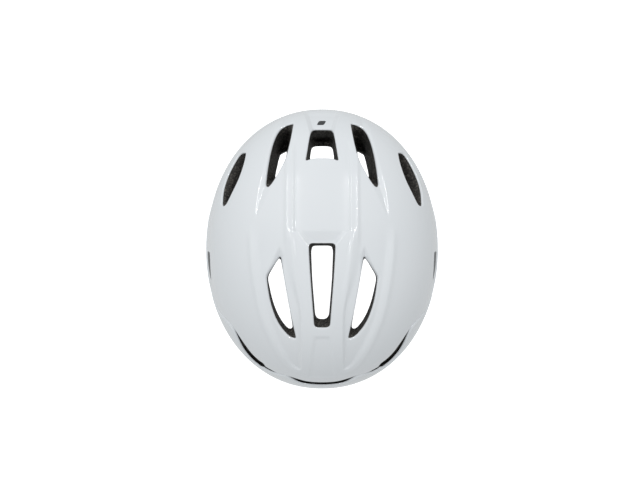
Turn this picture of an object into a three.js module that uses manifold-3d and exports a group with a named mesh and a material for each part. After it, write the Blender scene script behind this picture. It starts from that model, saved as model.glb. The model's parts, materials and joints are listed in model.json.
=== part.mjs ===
// A road cycling helmet: an in-moulded foam liner under a two-piece shell, with its comfort pads,
// a dial-adjusted headband, side straps with cam dividers and a chin strap with a slide-out buckle.
//
// Millimetres, +Z up, -Y towards the wearer's face, +X to the wearer's left.
// The origin is where the crown of the head meets the pads, on the helmet's mid plane.
// Azimuths run round +Z from the front (0 degrees) through the wearer's left (90) to the rear (180).

import * as THREE from "three";
import { mergeVertices } from "three/addons/utils/BufferGeometryUtils.js";
import Module from "manifold-3d";

const wasm = await Module();
wasm.setup();

// ---------- driving dimensions ----------

const HALF_WIDTH = 114.5; // of the shell
const HALF_LENGTH = 139;
const CROWN = 36; // outer height above the origin
const PLAN_POWER = 2.1; // superellipse seen from above
const PROFILE_POWER = 2.3; // superellipse seen from the side
const TUCK = 0.22; // how far the sides draw in below the widest level, per mm of height
const RIM_ROUND = 5; // radius of the rim's lower outer edge
const RIM_LIP = 5; // how far the shell runs in under the rim
const RIM_FRONT = -93; // height of the rim at the brow
const RIM_REAR_DROP = 29; // how much lower it is at the nape
const RIM_EAR_ARCH = 9; // how much it rises over the ears
const RIM_TEMPLE_DIP = 4; // how much it drops at the temples
const SEAM_REAR = -46; // height of the seam between the two shells, round the rear
const SEAM_RISE = 16; // how much higher it starts, at the front end of the side ports
const SEAM_PEAK = 8; // how much it rises between the side ports and the rear one
const SEAM_TURN = 108; // degrees from straight ahead where it starts to climb to the rear
const SIDE_PORT_SPAN = [133, 158]; // degrees from straight ahead, and half the port's height
const SIDE_PORT_HALF = 5.5;
const REAR_PORT_SPAN = [166, 194];
const REAR_PORT_HALF = 4;

const SKIN = 1.2; // shell thickness
const GAP = 0.4; // between neighbouring pieces

const HEAD_HALF_WIDTH = 82; // of the liner's cavity
const HEAD_HALF_LENGTH = 106.5;
const HEAD_CROWN = 8; // cavity height above the origin
const HEAD_LEVEL = -80; // where the cavity is widest
const HEAD_POWER = 2.4;

const AROUND = 40; // facets round the helmet
const RINGS = 10; // facets from the crown to the widest level
const CAVITY_RINGS = 8;

const STRAP_WIDTH = 15;
const STRAP_THICK = 1.6;

const BAND_HEIGHT = 12;
const BAND_THICK = 1.4;
const DIAL = new THREE.Vector3(0, 96.6, -141); // middle of the dial housing
const RACK_LAYERS = [94.2, 99]; // y of the left and the right rack
const PINION_PITCH = 3.2; // pitch radius
const PINION_TEETH = 10;
const TEMPLE = new THREE.Vector3(65.1, -50, -84); // pivot that the headband tilts on
const GUIDE_LEVEL = -88; // height of the pin that the cradle's stem slides on

const DIVIDER = new THREE.Vector3(78, -14, -160); // middle of the left strap divider

const COLOURS = {
  shell: { color: 0xe6e9ec, roughness: 0.18, metalness: 0 },
  foam: { color: 0x1d1d1e, roughness: 0.9, metalness: 0 },
  pad: { color: 0x26272a, roughness: 0.95, metalness: 0 },
  nylon: { color: 0x202124, roughness: 0.55, metalness: 0 },
  webbing: { color: 0x18191b, roughness: 0.85, metalness: 0 },
  buckle: { color: 0x1b1c1e, roughness: 0.45, metalness: 0 },
  rubber: { color: 0x2a2b2e, roughness: 0.8, metalness: 0 },
  steel: { color: 0xb9bcc0, roughness: 0.3, metalness: 1 },
};

// ---------- the helmet's surfaces ----------

const radians = THREE.MathUtils.degToRad;
const smooth = THREE.MathUtils.smoothstep;
const bump = (x, middle, width) => Math.exp(-(((x - middle) / width) ** 2));

function superellipse(azimuth, halfWidth, halfLength, power) {
  const across = Math.abs(Math.sin(azimuth) / halfWidth) ** power;
  const along = Math.abs(Math.cos(azimuth) / halfLength) ** power;
  return (across + along) ** (-1 / power);
}

const planRadius = (azimuth) => superellipse(azimuth, HALF_WIDTH, HALF_LENGTH, PLAN_POWER);
const headRadius = (azimuth) => superellipse(azimuth, HEAD_HALF_WIDTH, HEAD_HALF_LENGTH, HEAD_POWER);

// Height of the widest level: lowest at the rear.
const widestLevel = (azimuth) => -70 - 22 * ((1 - Math.cos(azimuth)) / 2) ** 2;

// How far a direction is from straight ahead, in degrees.
const turnOf = (azimuth) =>
  THREE.MathUtils.radToDeg(Math.abs(Math.atan2(Math.sin(azimuth), Math.cos(azimuth))));

// Height of the rim: high brow, a dip at the temples, an arch over the ears, a low rear.
function rimLevel(azimuth) {
  const turn = turnOf(azimuth);
  const rear = RIM_REAR_DROP * smooth(turn, 95, 150);
  return RIM_FRONT - rear + RIM_EAR_ARCH * bump(turn, 92, 22) - RIM_TEMPLE_DIP * bump(turn, 50, 25);
}

// Height of the seam between the upper and the lower shell: low at the sides, and up to the ports
// round the rear.
function seamLevel(azimuth) {
  const turn = turnOf(azimuth);
  const [portStart, portEnd] = SIDE_PORT_SPAN;
  const start = SEAM_RISE * (1 - smooth(turn, portStart - 2, portEnd - 8));
  const rear = SEAM_REAR + start + SEAM_PEAK * bump(turn, portEnd + 6.5, 5);
  return THREE.MathUtils.lerp(rimLevel(azimuth) + 16, rear, smooth(turn, SEAM_TURN, portStart - 2));
}

// Half of a meridian from the crown to the far edge of the rim's lip, as [radius, height] points.
function outerMeridian(azimuth) {
  const reach = planRadius(azimuth);
  const level = widestLevel(azimuth);
  const rim = rimLevel(azimuth);
  const points = [];
  for (let i = 0; i <= RINGS; i++) {
    const angle = (i / RINGS) * (Math.PI / 2);
    points.push([
      reach * Math.sin(angle) ** (2 / PROFILE_POWER),
      level + (CROWN - level) * Math.cos(angle) ** (2 / PROFILE_POWER),
    ]);
  }
  const floor = rim + RIM_ROUND;
  const tucked = (z) => reach - (TUCK * (level - z) ** 2) / (level - floor);
  for (const share of [0.5, 1]) {
    const z = THREE.MathUtils.lerp(level, floor, share);
    points.push([tucked(z), z]);
  }
  const edge = tucked(floor);
  for (const turn of [45, 90]) {
    points.push([
      edge - RIM_ROUND * (1 - Math.cos(radians(turn))),
      floor - RIM_ROUND * Math.sin(radians(turn)),
    ]);
  }
  points.push([edge - RIM_ROUND - RIM_LIP, rim]);
  return points;
}

// The meridian moved inwards by a distance, corner by corner.
function inset(points, distance) {
  const normalOf = (a, b) => {
    const length = Math.hypot(b[0] - a[0], b[1] - a[1]);
    return [-(b[1] - a[1]) / length, (b[0] - a[0]) / length];
  };
  return points.map((p, i) => {
    const before = i > 0 ? normalOf(points[i - 1], p) : null;
    const after = i < points.length - 1 ? normalOf(p, points[i + 1]) : null;
    if (!before) return [p[0], p[1] - distance];
    if (!after) return [p[0] - distance * before[0], p[1] - distance * before[1]];
    const mitre = 1 + before[0] * after[0] + before[1] * after[1];
    return [
      p[0] - (distance * (before[0] + after[0])) / mitre,
      p[1] - (distance * (before[1] + after[1])) / mitre,
    ];
  });
}

// Radius of the cavity for the head at a height. It flares a little below its widest level.
function cavityRadius(azimuth, z) {
  const reach = headRadius(azimuth);
  if (z < HEAD_LEVEL) return reach + 0.06 * (HEAD_LEVEL - z);
  const share = Math.min(1, (z - HEAD_LEVEL) / (HEAD_CROWN - HEAD_LEVEL));
  return reach * (1 - share ** HEAD_POWER) ** (1 / HEAD_POWER);
}

// Height of the cavity over a point of the plan, inside its outline.
function cavityHeight(x, y) {
  const share = Math.min(1, Math.hypot(x, y) / headRadius(Math.atan2(x, -y)));
  return HEAD_LEVEL + (HEAD_CROWN - HEAD_LEVEL) * (1 - share ** HEAD_POWER) ** (1 / HEAD_POWER);
}

// Height of the outer surface over a point of the plan, inside its outline.
function skinHeight(x, y) {
  const azimuth = Math.atan2(x, -y);
  const share = Math.min(1, Math.hypot(x, y) / planRadius(azimuth));
  const level = widestLevel(azimuth);
  return level + (CROWN - level) * (1 - share ** PROFILE_POWER) ** (1 / PROFILE_POWER);
}

// Radius of the outer surface at a height above the widest level.
function skinRadius(azimuth, z) {
  const level = widestLevel(azimuth);
  const share = THREE.MathUtils.clamp((z - level) / (CROWN - level), 0, 1);
  return planRadius(azimuth) * (1 - share ** PROFILE_POWER) ** (1 / PROFILE_POWER);
}

const polar = (azimuth, radius, z) =>
  new THREE.Vector3(radius * Math.sin(azimuth), -radius * Math.cos(azimuth), z);

// ---------- building blocks ----------

// A closed mesh through loops of equally many points. Each end closes to its own point.
function loft(loops, firstPoint = null, lastPoint = null) {
  const count = loops[0].length;
  const middle = (loop) =>
    loop.reduce((sum, p) => sum.add(p), new THREE.Vector3()).divideScalar(loop.length);
  const points = [firstPoint ?? middle(loops[0]), ...loops.flat(), lastPoint ?? middle(loops.at(-1))];
  const at = (ring, i) => 1 + ring * count + (i % count);
  const end = points.length - 1;
  const faces = [];
  for (let i = 0; i < count; i++) {
    faces.push(0, at(0, i + 1), at(0, i));
    for (let ring = 0; ring < loops.length - 1; ring++) {
      faces.push(at(ring, i), at(ring, i + 1), at(ring + 1, i));
      faces.push(at(ring, i + 1), at(ring + 1, i + 1), at(ring + 1, i));
    }
    faces.push(at(loops.length - 1, i), at(loops.length - 1, i + 1), end);
  }
  return facingOut(new THREE.BufferGeometry().setFromPoints(points).setIndex(faces));
}

// The same geometry with its faces turned outwards.
function facingOut(geometry) {
  const p = geometry.attributes.position;
  const index = geometry.index.array;
  const [a, b, c] = [new THREE.Vector3(), new THREE.Vector3(), new THREE.Vector3()];
  let volume = 0;
  for (let i = 0; i < index.length; i += 3) {
    a.fromBufferAttribute(p, index[i]);
    b.fromBufferAttribute(p, index[i + 1]);
    c.fromBufferAttribute(p, index[i + 2]);
    volume += a.dot(b.cross(c));
  }
  if (volume < 0) geometry.setIndex([...index].reverse());
  return geometry;
}

function solidOf(geometry) {
  const bare = geometry.clone();
  bare.deleteAttribute("normal");
  bare.deleteAttribute("uv");
  const merged = mergeVertices(bare, 1e-4);
  return new wasm.Manifold(
    new wasm.Mesh({
      numProp: 3,
      vertProperties: merged.attributes.position.array,
      triVerts: new Uint32Array(merged.index.array),
    }),
  );
}

function geometryOf(solid) {
  const mesh = solid.getMesh();
  const positions = new Float32Array(mesh.numVert * 3);
  for (let i = 0; i < mesh.numVert; i++)
    positions.set(mesh.vertProperties.subarray(i * mesh.numProp, i * mesh.numProp + 3), i * 3);
  return new THREE.BufferGeometry()
    .setAttribute("position", new THREE.BufferAttribute(positions, 3))
    .setIndex(new THREE.BufferAttribute(new Uint32Array(mesh.triVerts), 1));
}

const without = (geometry, tools) =>
  geometryOf(tools.reduce((left, tool) => left.subtract(solidOf(tool)), solidOf(geometry)));
const joined = (geometries) =>
  geometryOf(geometries.slice(1).reduce((all, g) => all.add(solidOf(g)), solidOf(geometries[0])));
const common = (geometry, tool) => geometryOf(solidOf(geometry).intersect(solidOf(tool)));

// A box between two corners.
function box(x0, y0, z0, x1, y1, z1) {
  const made = new THREE.BoxGeometry(x1 - x0, y1 - y0, z1 - z0);
  return made.translate((x0 + x1) / 2, (y0 + y1) / 2, (z0 + z1) / 2);
}

// A cylinder along an axis letter, from one coordinate to another, about the point given by the other two.
function rod(axis, from, to, radius, u, v, sides = 20) {
  const made = new THREE.CylinderGeometry(radius, radius, to - from, sides);
  const middle = (from + to) / 2;
  if (axis === "x") return made.rotateZ(Math.PI / 2).translate(middle, u, v);
  if (axis === "y") return made.translate(u, middle, v);
  return made.rotateX(Math.PI / 2).translate(u, v, middle);
}

// A strip along a path. Its width lies along a fixed direction, and may change with the distance
// from the path's start.
function ribbon(path, across, width, thickness) {
  const widthAt = typeof width === "number" ? () => width : width;
  const side = across.clone().normalize();
  let travelled = 0;
  const loops = path.map((p, i) => {
    const along = path[Math.min(i + 1, path.length - 1)].clone().sub(path[Math.max(i - 1, 0)]);
    const out = new THREE.Vector3().crossVectors(along, side).setLength(thickness / 2);
    if (i > 0) travelled += p.distanceTo(path[i - 1]);
    const half = side.clone().multiplyScalar(widthAt(travelled) / 2);
    return [
      p.clone().add(half).add(out),
      p.clone().sub(half).add(out),
      p.clone().sub(half).sub(out),
      p.clone().add(half).sub(out),
    ];
  });
  return loft(loops);
}

// Points at even steps along a smooth curve through the given ones.
const smoothPath = (points, steps) =>
  new THREE.CatmullRomCurve3(points, false, "centripetal").getSpacedPoints(steps);

function mirrorX(geometry) {
  const made = geometry.clone().scale(-1, 1, 1);
  return facingOut(made.index ? made : mergeVertices(made));
}

const helmet = new THREE.Group();

function part(name, geometry, look) {
  const mesh = new THREE.Mesh(geometry, new THREE.MeshStandardMaterial(COLOURS[look]));
  mesh.name = name;
  helmet.add(mesh);
}

// The piece on the wearer's left, and its mirror image on the right.
function partPair(name, geometry, look) {
  part("left_" + name, geometry, look);
  part("right_" + name, mirrorX(geometry), look);
}

// ---------- vents ----------

// Each vent's edge on the shell as [x, y, inward x, inward y]: a point of the plan, and how far the
// hole's wall has moved from it where it reaches the cavity.
const FRONT_CENTRE_VENT = [
  [-9, -116, 1, 4],
  [9, -116, -1, 4],
  [11.5, -112, -1.5, 4],
  [15.5, -85.5, -2.5, 0],
  [0, -88, 0, 0],
  [-15.5, -85.5, 2.5, 0],
  [-11.5, -112, 1.5, 4],
];
const FRONT_SIDE_VENT = [
  [28.5, -122.5, 2, 8],
  [31.5, -107, 1, 2],
  [35.5, -86.5, 0, 0],
  [46, -66.5, -1, -1],
  [52, -60, -5, -6],
  [53.8, -62.5, -7, -6],
  [52.3, -76, -7, 0],
  [48, -101, -6, 4],
  [41.5, -116, -3, 8],
];
const REAR_SIDE_VENT = [
  [39.8, 7, 0, 1],
  [38, 17, 0, 0],
  [26, 83.5, 2, -9],
  [32, 82, 0, -9],
  [41, 71, -4, -4],
  [48.2, 53.5, -3.5, -1],
  [52.2, 33, -2, 0],
  [52.6, 25, -1.5, 0],
];
const REAR_CENTRE_VENT = [
  [-12, -3.5, 1, 2],
  [-9.8, -5.5, 1, 2],
  [9.8, -5.5, -1, 2],
  [12, -3.5, -1, 2],
  [7, 71, -1.2, -7],
  [4.5, 74, -0.6, -8],
  [-4.5, 74, 0.6, -8],
  [-7, 71, 1.2, -7],
];
// This one is cut sideways, so its points are of the plan only.
const FAR_SIDE_VENT = [
  [75, -93],
  [76, -84.5],
  [80.5, -68],
  [85, -56.5],
  [94.5, -42],
  [96.5, -46],
  [95, -58],
  [91, -70.5],
  [85, -85],
  [79.5, -92],
];

// A tool that cuts a vent down through shell and liner. It leaves the cavity at the moved edge.
function ventTool(edge, drop) {
  const top = edge.map(([x, y]) => new THREE.Vector3(x, y, skinHeight(x, y) + 25));
  const skin = edge.map(([x, y]) => new THREE.Vector3(x, y, skinHeight(x, y)));
  const bottom = edge.map(
    ([x, y, inX, inY]) => new THREE.Vector3(x + inX, y + inY, skinHeight(x, y) - drop),
  );
  return loft([top, skin, bottom]);
}

// A tool that cuts a vent through the side wall, along a direction into the cavity.
function sideVentTool(edge, inward, depth, narrowing) {
  const skin = edge.map(([x, y]) => new THREE.Vector3(x, y, skinHeight(x, y)));
  const middle = skin.reduce((sum, p) => sum.add(p), new THREE.Vector3()).divideScalar(skin.length);
  const step = inward.clone().normalize();
  const outside = skin.map((p) => p.clone().addScaledVector(step, -15));
  const inside = skin.map((p) => p.clone().lerp(middle, narrowing).addScaledVector(step, depth));
  return loft([outside, skin, inside]);
}

// A rear exhaust port, cut straight in towards the head.
function portTool(edge) {
  const ring = (offset, lift) =>
    edge.map(([turn, z]) => {
      const azimuth = radians(turn);
      return polar(azimuth, skinRadius(azimuth, z) + offset, z + lift);
    });
  return loft([ring(14, 0), ring(0, 0), ring(-44, 3)]);
}

// A port's edge along the seam, as [azimuth in degrees, height]: up one side and back down the other.
function portEdge([from, to], half) {
  const steps = 4;
  const edge = [];
  for (const side of [1, -1]) {
    for (let i = 0; i < steps; i++) {
      const share = side > 0 ? i / steps : 1 - i / steps;
      const turn = THREE.MathUtils.lerp(from, to, share);
      const opening = half * Math.sin(Math.PI * share) ** 0.7;
      edge.push([turn, seamLevel(radians(turn)) + side * opening]);
    }
  }
  return edge;
}
const REAR_PORT = portEdge(REAR_PORT_SPAN, REAR_PORT_HALF);
const SIDE_PORT = portEdge(SIDE_PORT_SPAN, SIDE_PORT_HALF);

const ventTools = [
  ventTool(FRONT_CENTRE_VENT, 62),
  ventTool(REAR_CENTRE_VENT, 36),
  portTool(REAR_PORT),
];
for (const tool of [
  ventTool(FRONT_SIDE_VENT, 58),
  ventTool(REAR_SIDE_VENT, 38),
  sideVentTool(FAR_SIDE_VENT, new THREE.Vector3(-0.8, 0.3, -0.5), 46, 0.15),
  portTool(SIDE_PORT),
])
  ventTools.push(tool, mirrorX(tool));

// Air channels moulded into the cavity's surface, from the front vents to the rear ones.
function channelTool(plan, width, depth) {
  const path = smoothPath(
    plan.map(([x, y]) => new THREE.Vector3(x, y, cavityHeight(x, y))),
    10,
  );
  return ribbon(path, new THREE.Vector3(1, 0, 0), width, depth * 2);
}

const centreChannel = channelTool([[0, -90], [0, -50], [0, 0], [0, 60], [0, 94]], 18, 9);
const sideChannel = channelTool([[42, -78], [46, -50], [48, -15], [46, 20], [38, 60], [24, 88]], 15, 9);

// ---------- shell and liner ----------

const azimuths = Array.from({ length: AROUND }, (_, i) => (i / AROUND) * 2 * Math.PI);

// The rings of points that a meridian inset by a distance sweeps round the helmet, crown left out.
function sweep(distance) {
  const meridians = azimuths.map((azimuth) => inset(outerMeridian(azimuth), distance));
  return meridians[0].slice(1).map((_, ring) =>
    azimuths.map((azimuth, i) => polar(azimuth, ...meridians[i][ring + 1])),
  );
}

function wholeSkin() {
  const loops = [...sweep(0), ...sweep(SKIN).reverse()];
  return loft(loops, new THREE.Vector3(0, 0, CROWN), new THREE.Vector3(0, 0, CROWN - SKIN));
}

// Everything below the seam, as a tool. The offset moves it up or down.
function belowSeam(offset) {
  const ring = (radius, level) => azimuths.map((azimuth) => polar(azimuth, radius, level(azimuth)));
  const seam = (azimuth) => seamLevel(azimuth) + offset;
  return loft([ring(60, seam), ring(220, seam), ring(220, () => -200)]);
}

function linerBody() {
  const wallAt = (azimuth, z) => polar(azimuth, cavityRadius(azimuth, z), z);
  const underside = azimuths.map((azimuth) => {
    const rim = rimLevel(azimuth);
    return polar(azimuth, cavityRadius(azimuth, rim) + 4, rim + SKIN + GAP);
  });
  const wall = [azimuths.map((azimuth) => wallAt(azimuth, rimLevel(azimuth) + 5))];
  for (let i = CAVITY_RINGS; i > 0; i--) {
    const share = Math.cos((i / (CAVITY_RINGS + 1)) * (Math.PI / 2)) ** (2 / HEAD_POWER);
    const z = THREE.MathUtils.lerp(HEAD_LEVEL, HEAD_CROWN, share);
    wall.push(azimuths.map((azimuth) => wallAt(azimuth, z)));
  }
  return loft(
    [...sweep(SKIN + GAP), underside, ...wall],
    new THREE.Vector3(0, 0, CROWN - SKIN - GAP),
    new THREE.Vector3(0, 0, HEAD_CROWN),
  );
}

// ---------- where things are fixed to the liner ----------

const atRim = (turn, radius) => polar(radians(turn), radius, rimLevel(radians(turn)));
const FRONT_ANCHOR = atRim(66, 95);
const REAR_ANCHOR = atRim(140, 104);
const PIN_RADIUS = 3; // of the barbed pins that go up into the liner
const STUB_RADIUS = 4; // of the temple and guide stubs
const STUB_CLEARANCE = 0.35;

const anchorPockets = [FRONT_ANCHOR, REAR_ANCHOR].map((at) =>
  rod("z", at.z - 4, at.z + 13, PIN_RADIUS + STUB_CLEARANCE, at.x, at.y, 12),
);
const templePocket = rod("x", 60, 82.5, STUB_RADIUS + STUB_CLEARANCE, TEMPLE.y, TEMPLE.z, 12);
const guidePocket = rod("y", 95, 112.4, STUB_RADIUS + STUB_CLEARANCE, 0, GUIDE_LEVEL, 12);

const skin = wholeSkin();
part("upper_shell", without(skin, [belowSeam(0.32), ...ventTools]), "shell");
part("lower_shell", without(common(skin, belowSeam(-0.32)), ventTools), "shell");

const sidePockets = [...anchorPockets, templePocket];
const linerCuts = [...ventTools, centreChannel, sideChannel, mirrorX(sideChannel), guidePocket];
linerCuts.push(...sidePockets, ...sidePockets.map(mirrorX));
part("foam_liner", without(linerBody(), linerCuts), "foam");

// ---------- comfort pads and the hook patches that hold them ----------

const PATCH_THICK = 1;
const PATCH_DROP = 0.9; // from the cavity to the patch
const PAD_THICK = 5;
const PAD_DROP = 2.6; // from the cavity to the pad's upper face

// The cavity's upward normal over a point of the plan.
function cavityNormal(x, y) {
  const step = 2;
  const slopeX = (cavityHeight(x + step, y) - cavityHeight(x - step, y)) / (2 * step);
  const slopeY = (cavityHeight(x, y + step) - cavityHeight(x, y - step)) / (2 * step);
  return new THREE.Vector3(-slopeX, -slopeY, 1).normalize();
}

// A point under the cavity's wall.
const underCavity = (x, y, depth) =>
  new THREE.Vector3(x, y, cavityHeight(x, y)).addScaledVector(cavityNormal(x, y), -depth);

// A pad that follows the cavity over a line of plan points.
function crownPad(plan, width) {
  const path = plan.map(([x, y]) => underCavity(x, y, PAD_DROP + PAD_THICK / 2));
  const [x, y] = plan[Math.floor(plan.length / 2)];
  const normal = cavityNormal(x, y);
  return ribbon(smoothPath(path, 7), new THREE.Vector3(normal.z, 0, -normal.x), width, PAD_THICK);
}

function hookPatch(x, y) {
  const disc = new THREE.CylinderGeometry(5.5, 5.5, PATCH_THICK, 16);
  const upright = new THREE.Vector3(0, 1, 0);
  disc.applyQuaternion(new THREE.Quaternion().setFromUnitVectors(upright, cavityNormal(x, y)));
  return disc.translate(...underCavity(x, y, PATCH_DROP + PATCH_THICK / 2).toArray());
}

const CENTRE_PAD_LINE = [[0, -80], [0, -64], [0, -46], [0, -20]];
const CROWN_PAD_LINE = [[30, -52], [29, -20], [27, 15], [24, 60]];
part("centre_pad", crownPad(CENTRE_PAD_LINE, 24), "pad");
partPair("crown_pad", crownPad(CROWN_PAD_LINE, 12), "pad");
partPair("crown_patch", hookPatch(29, -28), "webbing");

// The brow pad follows the front of the cavity at the rim.
function browPad() {
  const reach = 45; // degrees to each side
  const low = -89;
  const high = -68;
  const thick = 2.6;
  const loops = [];
  for (let turn = -reach; turn <= reach; turn += reach / 8) {
    const azimuth = radians(turn);
    const corner = (z, depth) => polar(azimuth, cavityRadius(azimuth, z) - 1.3 - depth, z);
    loops.push([
      corner(low, thick),
      corner(low, 0),
      corner(HEAD_LEVEL, 0),
      corner(high, 0),
      corner(high, thick),
      corner(HEAD_LEVEL, thick),
    ]);
  }
  return loft(loops);
}
part("brow_pad", browPad(), "pad");

// ---------- headband, racks and dial ----------

const toothPitch = (2 * Math.PI * PINION_PITCH) / PINION_TEETH;
const RACK_TIP = PINION_PITCH - 0.35; // from the pinion's axis to the rack teeth's tips
const RACK_ROOT = PINION_PITCH + 0.95;
const RACK_END = -10; // the rack's free end, past the dial
const RACK_WINDOW = [-6, 16]; // from end to end

// The headband's left half: from the temple round the side, down to a straight toothed rack.
function bandPath(rackY) {
  const round = [62, 78, 95, 110, 123, 135, 146].map((turn) =>
    polar(radians(turn), superellipse(radians(turn), 74.5, 97.5, 2.1), 0),
  );
  const start = new THREE.Vector3(TEMPLE.x, TEMPLE.y + 9.2, 0);
  const curve = smoothPath([start, ...round, new THREE.Vector3(26, rackY, 0)], 16);
  curve.forEach((p, i) => {
    const share = smooth(i / curve.length, -0.15, 0.98);
    p.z = THREE.MathUtils.lerp(TEMPLE.z, DIAL.z, share);
  });
  return [...curve, new THREE.Vector3(22, rackY, DIAL.z), new THREE.Vector3(RACK_END, rackY, DIAL.z)];
}

// The rack's window, with teeth along its upper edge.
function rackWindow(rackY) {
  const [from, to] = RACK_WINDOW;
  const shape = new THREE.Shape();
  shape.moveTo(from, -PINION_PITCH - 0.9);
  shape.lineTo(to, -PINION_PITCH - 0.9);
  shape.lineTo(to, RACK_TIP);
  for (let i = Math.floor((to - 1) / toothPitch); i * toothPitch > from + 1; i--) {
    const middle = toothPitch * i;
    shape.lineTo(middle + 0.86, RACK_TIP);
    shape.lineTo(middle + 0.54, RACK_ROOT);
    shape.lineTo(middle - 0.54, RACK_ROOT);
    shape.lineTo(middle - 0.86, RACK_TIP);
  }
  shape.lineTo(from, RACK_TIP);
  const tool = new THREE.ExtrudeGeometry(shape, { depth: 4, bevelEnabled: false });
  return tool.translate(0, 0, -2).rotateX(Math.PI / 2).translate(0, rackY, DIAL.z);
}

// One half of the headband, drawn on the left. The other half's teeth point the other way.
function headband(rackY, teethUp) {
  const strip = ribbon(bandPath(rackY), new THREE.Vector3(0, 0, 1), BAND_HEIGHT, BAND_THICK);
  const window = rackWindow(rackY);
  if (teethUp) return without(strip, [window]);
  window.rotateX(Math.PI).translate(0, 2 * rackY, 2 * DIAL.z);
  return without(strip, [window]);
}
part("left_headband", headband(RACK_LAYERS[0], true), "nylon");
part("right_headband", mirrorX(headband(RACK_LAYERS[1], false)), "nylon");

// Where the dial's pieces begin and end along its axis.
const HOUSING_Y = [89.4, 101.4];
const GEAR_Y = [91.6, 101];
const COVER_Y = [101.8, 103.2];
const RING_Y = [103.6, 105.2];
const KNOB_Y = [103.8, 110.8];
const CAP_Y = [110.4, 111.4];
const SHAFT_RADIUS = 2;
const CAP_RADIUS = 6;
const HOUSING_WIDTH = 36;
const HOUSING_HEIGHT = 20;

// An outline stood up about the dial's axis, between two distances along it.
function standing(shape, [from, to]) {
  const settings = { depth: to - from, bevelEnabled: false, curveSegments: 5 };
  return new THREE.ExtrudeGeometry(shape, settings).rotateX(Math.PI / 2).translate(0, to, DIAL.z);
}

// A cylinder on the dial's axis.
const aboutDial = (from, to, radius, sides = 24) => rod("y", from, to, radius, 0, DIAL.z, sides);

// The pinion between the racks, on its shaft. One tooth points straight up, into a rack's gap.
function pinion() {
  const root = 2.35;
  const tip = 3.75;
  const outline = [];
  for (let i = 0; i < PINION_TEETH; i++) {
    const middle = Math.PI / 2 - (i * 2 * Math.PI) / PINION_TEETH;
    for (const [turn, radius] of [[0.255, root], [0.12, tip], [-0.12, tip], [-0.255, root]]) {
      const angle = middle + turn;
      outline.push(new THREE.Vector2(radius * Math.cos(angle), radius * Math.sin(angle)));
    }
  }
  const shaft = aboutDial(GEAR_Y[1] - 1, CAP_Y[0] - 0.2, SHAFT_RADIUS, 16);
  return joined([standing(new THREE.Shape(outline), GEAR_Y), shaft]);
}

// The housing's outline: a rectangle with round corners.
function housingOutline() {
  const radius = 6;
  const [x, y] = [HOUSING_WIDTH / 2 - radius, HOUSING_HEIGHT / 2 - radius];
  const quarter = Math.PI / 2;
  const shape = new THREE.Shape();
  shape.absarc(x, -y, radius, -quarter, 0);
  shape.absarc(x, y, radius, 0, quarter);
  shape.absarc(-x, y, radius, quarter, 2 * quarter);
  shape.absarc(-x, -y, radius, 2 * quarter, 3 * quarter);
  return shape;
}

// The housing is a box that the two racks cross, open towards its cover.
function dialHousing() {
  const [front, back] = HOUSING_Y;
  const half = BAND_HEIGHT / 2 + 1.2;
  const passage = box(-HOUSING_WIDTH, front + 1.2, DIAL.z - half, HOUSING_WIDTH, back + 1, DIAL.z + half);
  return without(standing(housingOutline(), HOUSING_Y), [passage]);
}
function dialCover() {
  return without(standing(housingOutline(), COVER_Y), [aboutDial(HOUSING_Y[1], KNOB_Y[0], 2.4, 16)]);
}

// The knob's edge is lobed for grip. It is hollow over the click ring, and recessed for the cap.
function dialKnob() {
  const lobes = 12;
  const outline = [];
  for (let i = 0; i < lobes * 4; i++) {
    const angle = (i / (lobes * 4)) * 2 * Math.PI;
    const reach = 13 + 0.6 * Math.cos(lobes * angle);
    outline.push(new THREE.Vector2(reach * Math.cos(angle), reach * Math.sin(angle)));
  }
  const [front, back] = KNOB_Y;
  return without(standing(new THREE.Shape(outline), KNOB_Y), [
    aboutDial(front - 1, back + 1, SHAFT_RADIUS + 0.35, 16),
    aboutDial(front - 1, RING_Y[1] + 1.2, 10.6),
    aboutDial(CAP_Y[0] - 0.5, back + 1, CAP_RADIUS + 0.4),
  ]);
}

// A ring with two sprung pawls that click in the knob.
function clickRing() {
  const [front, back] = RING_Y;
  const ring = without(aboutDial(front, back, 7.6), [aboutDial(front - 1, back + 1, 5.6, 20)]);
  const pawl = box(6.6, front + 0.3, DIAL.z - 1, 9.9, back - 0.3, DIAL.z + 1);
  return joined([ring, pawl, mirrorX(pawl)]);
}

part("dial_housing", dialHousing(), "nylon");
part("dial_cover", dialCover(), "nylon");
part("dial_pinion", pinion(), "nylon");
part("dial_knob", dialKnob(), "rubber");
part("dial_click_ring", clickRing(), "steel");
part("dial_cap", aboutDial(...CAP_Y, CAP_RADIUS), "nylon");

// ---------- cradle and its guide ----------

const CRADLE_Y = 99.1; // outer face of the cradle's stem
const CRADLE_THICK = 1.6;
const CRADLE_BEND = 0.008; // how fast the wings curve towards the head, per mm squared
const STEM_TOP = -68;
const STEM_HALF = 7;
const SLOT_HALF = 2.5;
const SLOT_LENGTH = 12;

// The wings, drawn as strips across a growing distance from the stem. They cup the head.
function cradleWings() {
  const base = DIAL.z + HOUSING_HEIGHT / 2 + GAP;
  const tip = 38;
  const loops = [];
  for (let share = -0.99; share < 1; share += 0.11) {
    const x = tip * share;
    const reach = Math.abs(x);
    const roundTip = Math.sqrt(1 - Math.max(0, (reach - tip + 6) / 6) ** 2);
    const middle = base + 8 + 9 * smooth(reach, 8, 34);
    const half = (8 - 1.5 * smooth(reach, 0, 20)) * roundTip;
    const back = CRADLE_Y - CRADLE_BEND * x ** 2;
    loops.push([
      new THREE.Vector3(x, back - CRADLE_THICK, middle - half),
      new THREE.Vector3(x, back, middle - half),
      new THREE.Vector3(x, back, middle + half),
      new THREE.Vector3(x, back - CRADLE_THICK, middle + half),
    ]);
  }
  return loft(loops);
}

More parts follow.
